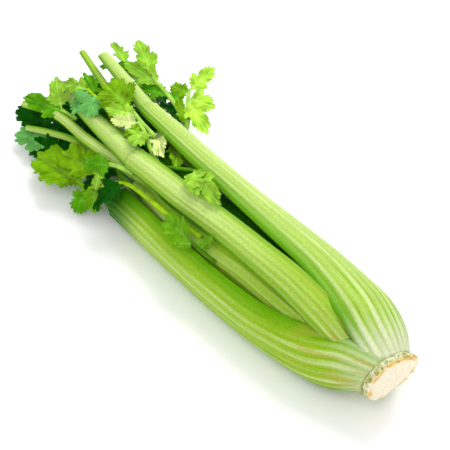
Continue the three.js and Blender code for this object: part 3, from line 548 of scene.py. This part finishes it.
def stem_surface(points, radii, colour):
    """A leafy stem as (points, quads, marks): a tube along the curve, whose radius goes evenly from the first
    to the second, with five low ribs and a channel on top that is a bell curve of the angle from it. Both
    ends are rings that shrink to a point."""
    route = np.array(points, float)
    run = np.linalg.norm(np.diff(route, axis=0), axis=1).sum()
    t = np.linspace(0, 1, max(8, int(run / STEM_STEP)))
    angle = np.linspace(0, 2 * np.pi, STEM_ROUND, endpoint=False)[None, :]
    radius = np.interp(t, (0, 1), radii)[:, None] * 0.95
    r = radius * (1 + 0.05 * np.cos(5 * angle) - 0.22 * bell(np.minimum(angle, 2 * np.pi - angle), 0.5))
    along = tangent(route, t)
    out = square_to(np.broadcast_to([0.0, 0.0, 1.0], along.shape), along)
    side = np.cross(along, out)[:, None]
    centre = curve(route, t)[:, None]
    made = centre + (r * np.sin(angle))[..., None] * side + (r * np.cos(angle))[..., None] * out[:, None]
    shrink = np.array([0.8, 0.0])[:, None, None]
    ahead = np.array([0.3, 0.45])[:, None, None] * radii[1]
    first = centre[0] + (made[0] - centre[0]) * shrink - along[0] * ahead
    final = centre[-1] + (made[-1] - centre[-1]) * shrink + along[-1] * ahead
    # its marks, those of a blade, put it half way between two veins, far from each, and say it is a stem
    return tube(
        np.concatenate([first[::-1], made, final]),
        tint=colour, vein=(0.5, 9, 9), branch=(0.5, 9, 0), face=(0, 1, 0),
    )


def blade_surface(base, tip, facing, width, bend, teeth, fold, phase, seed, colour, sizes):
    """A toothed leaflet as (points, quads, marks). The sheet is a fan: at the share s of the way round either
    half of the outline, a line runs from its origin on the midrib to the outline, whose corners are rounded
    by a running mean. The outline is pushed in and out from (0.4, 0) by broad scallops, the size of the
    cosine of pi times the scallops passed, and by blunt teeth, a sine over each tooth that leans to the tip.
    The sheet is rolled on a cylinder that turns through bend from base to tip, folded up along the midrib,
    waved across, and ruffled as the square of the way to the rim. It is raised between its veins, sunk along
    them on the upper face and raised on the lower, and the two faces meet in a thin rim."""
    chord = np.linalg.norm(tip - base)
    arc = max(math.radians(bend), 0.02)
    length = chord * arc / 2 / math.sin(arc / 2)
    round_half = 1.3 * length
    pitch = sizes.tooth_pitch / MM
    blunt = max(2 * teeth, round(round_half / pitch))
    rows, columns = BLADE_ROWS, 2 * TOOTH_POINTS * blunt + 1
    sigma = np.linspace(-1, 1, columns)[None, :]
    s = 1 - np.abs(sigma)
    half = np.where(sigma < 0, -1.0, 1.0)
    v = (np.linspace(0, 1, rows) ** 0.85)[:, None]

    outline = FAN if teeth >= FAN_TEETH else LOBED
    keys = np.linspace(0, 1, len(outline))
    near = np.linspace(-0.025, 0.025, 7)[:, None, None]
    x, y, _ = (np.interp(s + near, keys, axis).mean(0) for axis in outline.T)
    y = y * np.minimum(1, (1 - s) / 0.01)
    origin = np.interp(s, keys, outline[:, 2])
    passed, small = s * teeth, s * blunt
    scallop = np.abs(np.cos(np.pi * passed)) - 0.5
    blunt_tooth = np.sin(np.pi * (small - np.floor(small)) ** 1.4) ** 0.75 - 0.6
    free = smooth(x, 0.13, 0.19) * smooth(1 - s, 0, 0.04)
    depth = sizes.tooth_depth * (10 / teeth) ** 0.5
    push = free * (0.45 * depth * scallop + pitch * 0.45 / length * blunt_tooth)
    reach = np.maximum(np.hypot(x - 0.4, y), 1e-6)
    x, y = x + push * (x - 0.4) / reach, np.maximum(y + push * y / reach, 0)
    y = y * (1 + (width - 1) * smooth(x, 0.13, 0.17)) * half
    x, y = origin + (x - origin) * v, y * v

    # veins: one to each scallop and blunt tooth, and the midrib
    off_vein = np.abs(passed - np.floor(passed + 0.5))
    spread = round_half / teeth * v
    middle = np.abs(y) * length
    side_vein = bell(off_vein * spread, 0.45) * (1 - 0.5 * v) * smooth(v, 0, 0.1)
    rib = np.maximum(side_vein, bell(middle, 0.6))
    puff = np.abs(np.sin(np.pi * passed)) * v * (1 - v) * 4
    quilt = np.abs(np.sin(np.pi * (small - TOOTH_TOP))) * smooth(v, 0.35, 0.9)
    starts = np.random.default_rng(seed).uniform(0, 6, 2)
    ruffle = v * v * np.sin(2 * np.pi * passed * 0.7 + np.where(half > 0, *starts)) * smooth(s, 0.1, 0.25)

    turn, bow = arc * (0.5 - x), length / arc
    sheet = length * np.abs(y) * (fold + 0.16 * np.sin(9 * x + phase + 2 * half))
    sheet = sheet + sizes.puff / MM * (0.6 * puff + 0.6 * quilt) + sizes.ruffle * length * ruffle
    thin = sizes.blade / MM / 2 * (1 - 0.5 * v ** 4) + 0.8 * np.maximum(0, 0.5 - x) * (1 - v) ** 3
    groove = sizes.vein_height / MM
    along = unit(tip - base)
    out = square_to(facing, along)
    side = np.cross(out, along)
    faces = []
    for lift in (thin - 0.4 * groove * rib, -(thin + groove * rib)):
        height = sheet + lift
        px = bow * (math.sin(arc / 2) - np.sin(turn)) - height * np.sin(turn)
        pz = bow * (np.cos(turn) - math.cos(arc / 2)) + height * np.cos(turn)
        faces.append(base + px[..., None] * along + (length * y)[..., None] * side + pz[..., None] * out)
    points = np.concatenate(faces).reshape(-1, 3)
    under = rows * columns
    top = grid(rows, columns)
    rim = under - columns + np.arange(columns - 1)
    rim = np.stack([rim + under, rim + 1 + under, rim + 1, rim], 1)
    down = np.arange(rows - 1) * columns
    start = np.stack([down, down + columns, down + columns + under, down + under], 1)
    quads = np.concatenate([top, top[:, ::-1] + under, rim, start, start[:, ::-1] + columns - 1])
    # vein is the scallops passed, the mm between their veins there and the mm from the midrib; branch is the
    # teeth passed and the mm between theirs; face is 1 underneath, 1 on a stem, and the way to the rim
    marks = spread_marks(
        (2, rows, columns), tint=colour, vein=(passed, spread, middle),
        branch=(small - TOOTH_TOP, round_half / blunt * v, 0), face=(np.array([0, 1])[:, None, None], 0, v),
    )
    return points, outward(points, quads), marks


def spray_surfaces(spec, seed, tints, sizes):
    """The stems and leaflets of one leafy stem. A leaflet grows from the stem's middle line at its place
    along it, and its facing, fold and wave come from seeded numbers."""
    random = seeded(seed)
    made = [stem_surface(points, radii, tints[tint]) for points, radii, tint in spec.stems]
    for row, (stem, place, *end, width, bend, teeth, tint) in enumerate(spec.leaves):
        facing = unit(np.array(spec.facing, float))
        facing[:2] += [0.5 * (next(random) - 0.5), 0.5 * (next(random) - 0.5)]
        fold, phase = 0.1 + 0.25 * next(random), 6 * next(random)
        route = spec.stems[stem][0]
        knots = np.linspace(0, 1, 2 * len(route) - 1)
        base = np.array([np.interp(min(place, 0.96), knots, axis) for axis in curve(route, knots).T])
        tip, tint = np.array(end, float), tints[tint]
        made.append(blade_surface(
            base, tip, facing, width, bend, teeth, fold, phase, seed + row, tint, sizes,
        ))
    return made


# ---- butt ----
def butt_surface(sizes):
    """The trimmed butt as (points, quads, marks): the profile's rings turned about the line along x through
    CUT, made uneven by 3% and 2% sines of three and seven times the angle, leaned with the slanted cut, and
    roughened by smooth noise: lumps on the scar band, torn edges on the rim and low waves on the cut face."""
    angle = np.linspace(0, 2 * np.pi, BUTT_ROUND, endpoint=False)[None, :]
    key = np.arange(len(BUTT_PROFILE))
    place = np.unique(np.concatenate([np.linspace(0, 4, TAIL_ROWS), np.linspace(4, 7, BAND_ROWS)]))[:, None]
    x, r = (np.interp(place, key, axis) for axis in BUTT_PROFILE.T)
    face = np.linspace(0.97, 0, FACE_ROWS)[:, None]
    edge = BUTT_PROFILE[-1, 1]
    x, r = np.vstack([x, 0 * face]), np.vstack([r, edge * face])
    on_face = np.vstack([0 * place, 0 * face + 1])
    band = np.vstack([smooth(place, 3.9, 4.3) * smooth(place, 6.4, 5.8), 0 * face])
    rim = bell(r - edge, 1.1) * smooth(x, -2.2, -0.9)
    spots = stacked(4 * np.cos(angle) * r / 8, 4 * np.sin(angle) * r / 8, x / 1.2)
    lumps, torn, waves = ripple(spots, 3, 9), ripple(spots * 2.6, 4, 9), ripple(spots * 0.45, 5, 7)
    rough, cut_rough = sizes.scar_roughness / MM, sizes.cut_roughness / MM
    radius = r * (1 + 0.03 * np.sin(3 * angle + 1) + 0.02 * np.sin(7 * angle))
    radius = radius + rough * (band * (0.5 * lumps + 0.4 * torn) + rim * torn)
    y, z = radius * np.cos(angle), radius * np.sin(angle)
    out = CUT[0] + x + LEAN_Y * y + LEAN_Z * z
    out = out + cut_rough * (on_face * (waves + 0.25 * torn) + rim * (lumps + torn))
    points = np.stack([out, CUT[1] + y, CUT[2] + z], -1)
    tail = points[:1].mean(1, keepdims=True) + 0 * points[:1]

    def full(value):
        return np.vstack([value[:1], value])

    return tube(
        np.concatenate([tail, points]),
        scar=(20 * angle, full(x), full(band)), face=(full(on_face), full(r / edge), full(rim)),
    )


# ---- finishes ----
# how the share of a layer grows
EVEN, SOFT = "LINEAR", "SMOOTHSTEP"


def add_node(tree, kind, inputs=None, **settings):
    """Adds a shader node of that kind with its settings, and gives each input, by name or number, another
    node's output, a value, or a colour with full alpha. Returns the node's outputs."""
    made = tree.nodes.new("ShaderNode" + kind)
    for key, value in settings.items():
        setattr(made, key, value)
    for key, value in (inputs or {}).items():
        if isinstance(value, bpy.types.NodeSocket):
            tree.links.new(value, made.inputs[key])
        else:
            made.inputs[key].default_value = (*value, 1) if isinstance(value, Color) else value
    return made.outputs


def new_finish(name):
    """An empty node material of that name, and add_node for its tree."""
    material = bpy.data.materials.new(name)
    material.use_nodes = True
    material.node_tree.nodes.clear()
    return material, partial(add_node, material.node_tree)


def laid_over(add, colour, layers):
    """The colour under several layers. Each is (value, start, full, share, ramp, tone): while the value goes
    from start to full, the tone's share of the mix goes from none to that share, evenly or softly."""
    for value, start, full, share, ramp, tone in layers:
        weight = add("MapRange", {0: value, 1: start, 2: full, 4: share}, interpolation_type=ramp)[0]
        colour = add("Mix", {0: weight, 6: colour, 7: tone}, data_type="RGBA")[2]
    return colour


def parts_of(add, *names):
    """The three numbers of each of those vector attributes."""
    return [add("SeparateXYZ", {0: add("Attribute", attribute_name=name)["Vector"]}) for name in names]


def stalk_finish(look):
    """Celery stalk: wet, slightly see-through flesh under a thin waxy skin. A pale band of painted highlight
    runs along its back, the strings in the ribs are paler than the flesh, thin green grooves lie between
    them, both edges, a thin ring at the node, the hollow face and a given stretch are darkened green as
    painted shade, the foot is bleached where it was shaded by the soil, and the cut ends are pale. Its noises
    are drawn on the
    millimetres round and along the stalk: streaks about 1 mm across and 50 mm long, patches of 5 by 33 mm and
    pores of 1 by 2.5 mm."""
    material, add = new_finish("celery_stalk_skin")
    rib, beyond = (add("Attribute", attribute_name=name)["Fac"] for name in ("rib", "beyond_node"))
    strand = add("Attribute", attribute_name="strand")["Vector"]
    (hollow, cut, edge_shade), (youth, bleach, band) = parts_of(add, "skin", "kind")
    along = add("SeparateXYZ", {0: strand})[1]
    noises = []
    for stretch, detail in (((0.9, 0.02, 1), 2), ((0.2, 0.03, 1), 2), ((0.8, 0.4, 1), 3)):
        place = add("VectorMath", {0: strand, 1: stretch}, operation="MULTIPLY")[0]
        noises.append(add("TexNoise", {"Vector": place, "Scale": 1, "Detail": detail})[0])
    streak, patch, pore = noises

    # the string along each rib, broken up by the streaks; how far it is from the node, where a thin ring of
    # edge colour is painted shade in the crease; the foot, which reaches further up the ribs than between
    # them;
    # and the bruises near it, which spare a bleached foot
    string = add("Math", {0: streak, 1: 0.9, 2: rib}, operation="MULTIPLY_ADD")[0]
    off_node = add("Math", {0: beyond}, operation="ABSOLUTE")[0]
    reach = add("Math", {0: rib, 1: -20, 2: along}, operation="MULTIPLY_ADD")[0]
    near = add("MapRange", {0: along, 1: 110, 2: 20, 4: 0.55})[0]
    spared = add("MapRange", {0: bleach, 1: 1, 2: 0.8})[0]
    near = add("Math", {0: near, 1: spared}, operation="MULTIPLY")[0]
    colour = laid_over(add, look.flesh, (
        (beyond, -1, 3, 0.8, EVEN, look.stem),
        (youth, 0, 1, 0.8, EVEN, look.young),
        # the pale band: painted highlight along the back
        (band, 0, 1, 1, EVEN, look.band),
        (string, 0.74, 0.46, 0.9, SOFT, look.groove),
        (string, 0.9, 1.5, 0.85, SOFT, look.ridge),
        # painted shade on both long edges
        (edge_shade, 0.5, 1, 0.9, SOFT, look.edge),
        # painted shade on the hollow face and the given stretch
        (hollow, 0, 1, 1, EVEN, look.hollow),
        # painted shade: a thin ring of edge colour in the node's crease
        (off_node, 1.6, 0.3, 0.2, SOFT, look.edge),
        (reach, 30, -14, bleach, SOFT, look.foot),
        (patch, 0.48, 0.62, near, SOFT, look.bruise),
        (cut, 0, 1, 1, EVEN, look.cut),
    ))
    value = add("MapRange", {0: patch, 1: 0.3, 2: 0.7, 3: 0.68, 4: 0.78})[0]
    value = add("Math", {0: pore, 1: 0.54, 2: value}, operation="MULTIPLY_ADD")[0]
    colour = add("HueSaturation", {"Color": colour, "Value": value})[0]

    height = add("Math", {0: streak, 1: 1.5, 2: pore}, operation="MULTIPLY_ADD")[0]
    bump = add("Bump", {"Height": height, "Distance": 0.00025, "Strength": 0.6})[0]
    rough = add("MapRange", {0: pore, 1: 0.3, 2: 0.7, 3: look.gloss_low, 4: look.gloss_high})[0]
    add("OutputMaterial", {0: add("BsdfPrincipled", {
        "Base Color": colour, "Roughness": rough, "Normal": bump, "IOR": 1.28, "Specular IOR Level": 0.25,
        "Specular Tint": (0.9, 1, 0.3, 1),
        "Subsurface Weight": 0.15, "Subsurface Radius": (0.7, 1, 0.1), "Subsurface Scale": 0.003,
    })[0]})
    return material


def leaf_finish(look):
    """Celery leaf: a thin soft blade with a faint wax shine above and a duller, bluer underside. Each scallop
    and each tooth has a paler vein, and a net of finer ones, 2 mm across, lies between."""
    material, add = new_finish("celery_leaf_blade")
    tint = add("Attribute", attribute_name="tint")["Color"]
    vein, branch, (under, stem, way) = parts_of(add, "vein", "branch", "face")
    place = add("TexCoord")["Object"]

    # mm from the nearest vein of each kind: how far the count is from a whole number, times the spacing
    off = []
    for count, spacing, _ in (vein, branch):
        share = add("Math", {0: count, 1: 0.5}, operation="PINGPONG")[0]
        off.append(add("Math", {0: share, 1: spacing}, operation="MULTIPLY")[0])
    net = add("TexVoronoi", {"Vector": place, "Scale": 480}, feature="DISTANCE_TO_EDGE")[0]
    fading = add("MapRange", {0: way, 3: 0.7, 4: 0.25})[0]
    rising = add("MapRange", {0: way, 1: 0.35, 2: 0.6, 4: 0.35})[0]
    lines = 0
    for value, start, full, share, ramp in (
        (off[0], 0.6, 0.1, fading, SOFT), (off[1], 0.4, 0.1, rising, SOFT), (vein[2], 0.8, 0.2, 1, SOFT),
        (net, 0.14, 0.02, 0.2, EVEN),
    ):
        line = add("MapRange", {0: value, 1: start, 2: full, 4: share}, interpolation_type=ramp)[0]
        lines = add("Math", {0: lines, 1: line}, operation="MAXIMUM")[0]

    pale = add("HueSaturation", {"Color": tint, "Saturation": 0.92, "Value": 1.5})[0]
    colour = laid_over(add, tint, (
        (lines, 0, 1, 0.8, EVEN, pale), (under, 0, 1, 0.3, EVEN, look.underside), (stem, 0, 1, 1, EVEN, tint),
    ))
    cloud = add("TexNoise", {"Vector": place, "Scale": 110, "Detail": 3})[0]
    value = add("MapRange", {0: cloud, 1: 0.3, 2: 0.7, 3: 0.62, 4: 1.22})[0]
    colour = add("HueSaturation", {"Color": colour, "Value": value})[0]

    height = add("Math", {0: lines, 1: -1, 2: cloud}, operation="MULTIPLY_ADD")[0]
    bump = add("Bump", {"Height": height, "Distance": 0.0004, "Strength": 0.6})[0]
    add("OutputMaterial", {0: add("BsdfPrincipled", {
        "Base Color": colour, "Roughness": 0.46, "Normal": bump, "IOR": 1.28, "Specular IOR Level": 0.12,
        "Specular Tint": (0.7, 1, 0.1, 1),
        "Subsurface Weight": 0.3, "Subsurface Radius": (0.5, 1, 0.05), "Subsurface Scale": 0.0012,
    })[0]})
    return material


def butt_finish(look):
    """Trimmed butt: damp cream flesh cut across, browned and torn at its thin rim, with a scar band behind it
    where the outermost stalks came away. The band shows the dark ends of their strings, about 2 mm apart."""
    material, add = new_finish("cut_celery_flesh")
    (spin, ahead, on_band), (_, out, _) = parts_of(add, "scar", "face")
    place = add("TexCoord")["Object"]
    grain, fine, broad = (
        add("TexNoise", {"Vector": place, "Scale": scale, "Detail": detail})[0]
        for scale, detail in ((260, 4), (900, 3), (70, 1))
    )

    # the strings' ends on the band
    ends = add("TexVoronoi", {"Vector": add("CombineXYZ", {0: spin, 1: ahead})[0], "Scale": 0.5})[0]
    ends = add("Math", {0: grain, 1: 0.45, 2: ends}, operation="MULTIPLY_ADD")[0]
    band = laid_over(add, look.scar, (
        (grain, 0.35, 0.65, 1, EVEN, look.scar_pale), (ends, 0.62, 0.42, on_band, SOFT, look.string_end),
    ))

    # the browned rim between the band and the face
    wander = add("MapRange", {0: grain, 1: 0.3, 2: 0.7, 3: -0.045, 4: 0.045})[0]
    out = add("Math", {0: broad, 1: 0.25, 2: out}, operation="MULTIPLY_ADD")[0]
    out = add("Math", {0: wander, 1: 1.6, 2: out}, operation="MULTIPLY_ADD")[0]
    browned = add("MapRange", {0: broad, 1: 0.42, 2: 0.62, 3: 0.12, 4: 1})[0]
    front = laid_over(add, look.cream, (
        (fine, 0.35, 0.65, 1, EVEN, look.flesh), (out, 1, 1.16, browned, SOFT, look.rim),
    ))
    ahead = add("Math", {0: wander, 1: 14, 2: ahead}, operation="MULTIPLY_ADD")[0]
    colour = laid_over(add, band, [(ahead, -1.5, -0.7, 1, SOFT, front)])

    height = add("Math", {0: fine, 1: 0.5, 2: grain}, operation="MULTIPLY_ADD")[0]
    bump = add("Bump", {"Height": height, "Distance": 0.0008, "Strength": 0.8})[0]
    add("OutputMaterial", {0: add("BsdfPrincipled", {
        "Base Color": colour, "Roughness": 0.6, "Normal": bump, "IOR": 1.4,
        "Subsurface Weight": 0.2, "Subsurface Radius": (1, 0.8, 0.5), "Subsurface Scale": 0.002,
    })[0]})
    return material


def floor_finish(look):
    """Matt painted board under the head: one even pale tone with the faintest mottle, 30 mm across."""
    material, add = new_finish("pale_painted_board")
    mottle = add("TexNoise", {"Vector": add("TexCoord")["Object"], "Scale": 33})[0]
    value = add("MapRange", {0: mottle, 3: 0.98, 4: 1})[0]
    colour = add("HueSaturation", {"Color": look.floor, "Value": value})[0]
    shader = add("BsdfPrincipled", {"Base Color": colour, "Roughness": 0.85, "IOR": 1.3})[0]
    add("OutputMaterial", {0: shader})
    return material


# ---- settings ----
def length(name, description, millimetres):
    """A length property with that default."""
    return FloatProperty(
        name=name, description=description, default=millimetres * MM, min=0, unit="LENGTH", precision=5,
    )


def number(name, description, default, low=0, high=1):
    """A plain number property with that default and range."""
    return FloatProperty(name=name, description=description, default=default, min=low, max=high)


def colour(name, description, code):
    """A colour property with that sRGB default."""
    return FloatVectorProperty(
        name=name, description=description, default=linear(code), subtype="COLOR", size=3, min=0, max=1,
    )


class CeleryStalkLook(bpy.types.PropertyGroup):
    rib_height: length("Rib height", "How far a rib stands over the grooves beside it", 0.9)
    stem_rib_height: length("Stem rib height", "The same above the node", 0.15)
    rib_sharpness: number("Rib sharpness", "Higher values make the ribs narrower", 0.62, 0.5, 4)
    lip: length("Lip", "Thickness of a stalk's two long edges", 2.4)
    unevenness: length("Unevenness", "How far the skin wanders in and out", 0.25)
    gloss_low: number("Lowest roughness", "Between the pores", 0.32)
    gloss_high: number("Highest roughness", "In the pores", 0.46)
    flesh: colour("Flesh", "Between the ribs and the grooves", "#8CB420")
    # the pale band is a painted highlight
    band: colour("Pale band", "Along the back of a stalk", "#C2DA82")
    ridge: colour("String", "Along the top of each rib", "#CADB92")
    groove: colour("Groove", "Between the ribs", "#76A80A")
    # the edge colour is painted shade on both long edges and in the node's crease
    edge: colour("Edge", "Both long edges of a stalk", "#569600")
    stem: colour("Leaf stem", "Above the node", "#90BC30")
    young: colour("Young", "The stalks of the heart", "#BBCF81")
    # the hollow colour is painted shade on the inner side and on the darkened stretch
    hollow: colour("Hollow face", "The inner side of a stalk", "#286600")
    foot: colour("Foot", "Bleached, next to the butt", "#CCD0B0")
    bruise: colour("Bruise", "Olive-brown streaks near the butt", "#A49838")
    cut: colour("Cut end", "Where a leaf stem was cut across", "#C8D898")


class CeleryLeafLook(bpy.types.PropertyGroup):
    blade: length("Blade", "Thickness of a leaf", 0.6)
    tooth_depth: number("Scallop depth", "As a share of the leaf's length", 0.06, 0, 0.2)
    tooth_pitch: length("Tooth pitch", "Length of rim to a blunt tooth", 4.2)
    vein_height: length("Vein height", "How far a vein stands out of the underside", 0.25)
    puff: length("Puff", "How far the blade swells between its veins", 0.6)
    ruffle: number("Ruffle", "Waves at the rim, as a share of the length", 0.035, 0, 0.2)
    young: colour("Yellow-green", "The newest leaves", "#74A600")
    newest: colour("Newest", "Thin leaves that glow against the light", "#AEDC40")
    light: colour("Light green", "Leaves lit through", "#70A004")
    green: colour("Green", "Grown leaves", "#559A02")
    # Dark green is partly the real colour of old leaves and partly painted shade on leaves deep in the head
    # or under others
    dark: colour("Dark green", "Old and shaded leaves", "#044C00")
    olive: colour("Olive", "Curled leaves", "#649C0A")
    pale: colour("Pale back", "Leaves that show their underside", "#90C034")
    cream: colour("Cream", "Curled tips of the heart's leaves", "#D2E48C")
    blue: colour("Blue-green", "Waxy undersides", "#62A850")
    stem: colour("Stem", "The thin leafy stems", "#98C41C")
    pale_stem: colour("Pale stem", "The leafy stems of young leaves", "#A9D65A")
    # The dark stem is painted shade on leafy stems that lie in the gaps
    dark_stem: colour("Dark stem", "Shaded leafy stems", "#4E8A0C")
    underside: colour("Underside", "What the lower face is paled with", "#8CC07C")

    def tints(self):
        """The leaf colours by the small letters of the SPRAYS table, and the stem colours by its capitals."""
        return {
            "y": self.young, "l": self.light, "g": self.green, "d": self.dark, "o": self.olive,
            "p": self.pale, "c": self.cream, "b": self.blue, "n": self.newest,
            "L": self.pale_stem, "G": self.stem, "D": self.dark_stem,
        }


class CeleryButtLook(bpy.types.PropertyGroup):
    scar_roughness: length("Scar roughness", "Lumps of the scar band and torn rim", 1.3)
    cut_roughness: length("Cut roughness", "Lumps of the cut face", 0.8)
    cream: colour("Cream", "The cut face", "#FFF8E6")
    flesh: colour("Flesh", "Fine grain of the cut face", "#F2E2BC")
    rim: colour("Rim", "Browned edge of the cut", "#E8BE62")
    scar: colour("Scar", "Band behind the cut", "#A0A64C")
    scar_pale: colour("Pale scar", "Lighter parts of the band", "#E2DFC0")
    string_end: colour("String end", "Dark dots of the band", "#828614")


class CeleryStageLook(bpy.types.PropertyGroup):
    floor: colour("Floor", "Board under the head", "#FFFFFF")
    key: FloatProperty(
        name="Key light", description="Power of the large soft lamp", default=10.8, unit="POWER",
    )
    fill: number("Fill", "Strength of the even light all round", 0.72, 0, 100)
    lens: FloatProperty(name="Lens", description="Focal length", default=168, unit="CAMERA")
    distance: length("Distance", "From the camera to what it looks at", 1500)


# ---- operators ----
class CELERY_OT_butt(bpy.types.Operator):
    """Make the trimmed butt with its scar band and cut face"""

    bl_idname = "celery.butt"
    bl_label = "Butt"

    def execute(self, context):
        look = context.scene.celery_butt
        piece("trimmed_butt", [butt_surface(look)], "butt", butt_finish(look))
        return {"FINISHED"}


class CELERY_OT_stalks(bpy.types.Operator):
    """Make the ribbed stalks, each over its own solid"""

    bl_idname = "celery.stalks"
    bl_label = "Stalks"

    def execute(self, context):
        look = context.scene.celery_stalks
        finish = stalk_finish(look)
        for seed, (name, spec) in enumerate(STALKS.items(), 1):
            piece("ribbed_" + name, [stalk_surface(spec, seed, look)], name, finish)
        return {"FINISHED"}


class CELERY_OT_leaves(bpy.types.Operator):
    """Make the leafy stems with their toothed leaflets, each over its own solid"""

    bl_idname = "celery.leaves"
    bl_label = "Leafy stems"

    def execute(self, context):
        look = context.scene.celery_leaves
        finish = leaf_finish(look)
        for i, (name, spec) in enumerate(SPRAYS.items()):
            surfaces = spray_surfaces(spec, SEED + SEED_STEP * i, look.tints(), look)
            piece("veined_" + name, surfaces, name, finish)
        return {"FINISHED"}


class CELERY_OT_stage(bpy.types.Operator):
    """Make the floor, the lights and the camera"""

    bl_idname = "celery.stage"
    bl_label = "Stage"

    def execute(self, context):
        scene, look = context.scene, context.scene.celery_stage
        mesh = bpy.data.meshes.new("board")
        corners = [(-1, -1, 0), (1, -1, 0), (1, 1, 0), (-1, 1, 0)]
        mesh.from_pydata(np.array(corners) * BOARD_REACH, [], [(0, 1, 2, 3)])
        mesh.materials.append(floor_finish(look))
        board = bpy.data.objects.new("board", mesh)
        scene.collection.objects.link(board)

        world = bpy.data.worlds.new("even_white")
        world.use_nodes = True
        world.node_tree.nodes["Background"].inputs[0].default_value = (1, 1, 1, 1)
        world.node_tree.nodes["Background"].inputs[1].default_value = look.fill
        scene.world = world
        for name, (place, share, size) in LAMPS.items():
            lamp = bpy.data.lights.new(name, "AREA")
            lamp.energy, lamp.size = look.key * share, size
            light = bpy.data.objects.new(name, lamp)
            light.location = place
            light.rotation_euler = (-Vector(place)).to_track_quat("-Z", "Y").to_euler()
            scene.collection.objects.link(light)

        camera = bpy.data.objects.new("camera", bpy.data.cameras.new("camera"))
        camera.data.lens, camera.data.sensor_width = look.lens, SENSOR
        turn, rise = math.radians(AZIMUTH), math.radians(ELEVATION)
        back = Vector((math.sin(turn) * math.cos(rise), -math.cos(turn) * math.cos(rise), math.sin(rise)))
        camera.location = TARGET + back * look.distance
        camera.rotation_euler = (-back).to_track_quat("-Z", "Y").to_euler()
        scene.collection.objects.link(camera)
        scene.camera = camera
        scene.view_settings.view_transform = "Standard"
        return {"FINISHED"}


MAKERS = {
    "celery_butt": (CELERY_OT_butt, CeleryButtLook),
    "celery_stalks": (CELERY_OT_stalks, CeleryStalkLook),
    "celery_leaves": (CELERY_OT_leaves, CeleryLeafLook),
    "celery_stage": (CELERY_OT_stage, CeleryStageLook),
}


class CELERY_PT_panel(bpy.types.Panel):
    bl_idname = "CELERY_PT_panel"
    bl_label = "Head of celery"
    bl_space_type = "VIEW_3D"
    bl_region_type = "UI"
    bl_category = "Celery"

    def draw(self, context):
        for name, (maker, _) in MAKERS.items():
            self.layout.operator(maker.bl_idname)
            settings = getattr(context.scene, name)
            for key in settings.bl_rna.properties.keys():
                if key not in ("rna_type", "name"):
                    self.layout.prop(settings, key)


def register():
    for name, (maker, look) in MAKERS.items():
        bpy.utils.register_class(look)
        setattr(bpy.types.Scene, name, PointerProperty(type=look))
        bpy.utils.register_class(maker)
    bpy.utils.register_class(CELERY_PT_panel)


def unregister():
    bpy.utils.unregister_class(CELERY_PT_panel)
    for name, (maker, look) in MAKERS.items():
        bpy.utils.unregister_class(maker)
        delattr(bpy.types.Scene, name)
        bpy.utils.unregister_class(look)


def main():
    register()
    bpy.ops.celery.butt()
    bpy.ops.celery.stalks()
    bpy.ops.celery.leaves()
    bpy.ops.celery.stage()


if __name__ == "__main__":
    main()
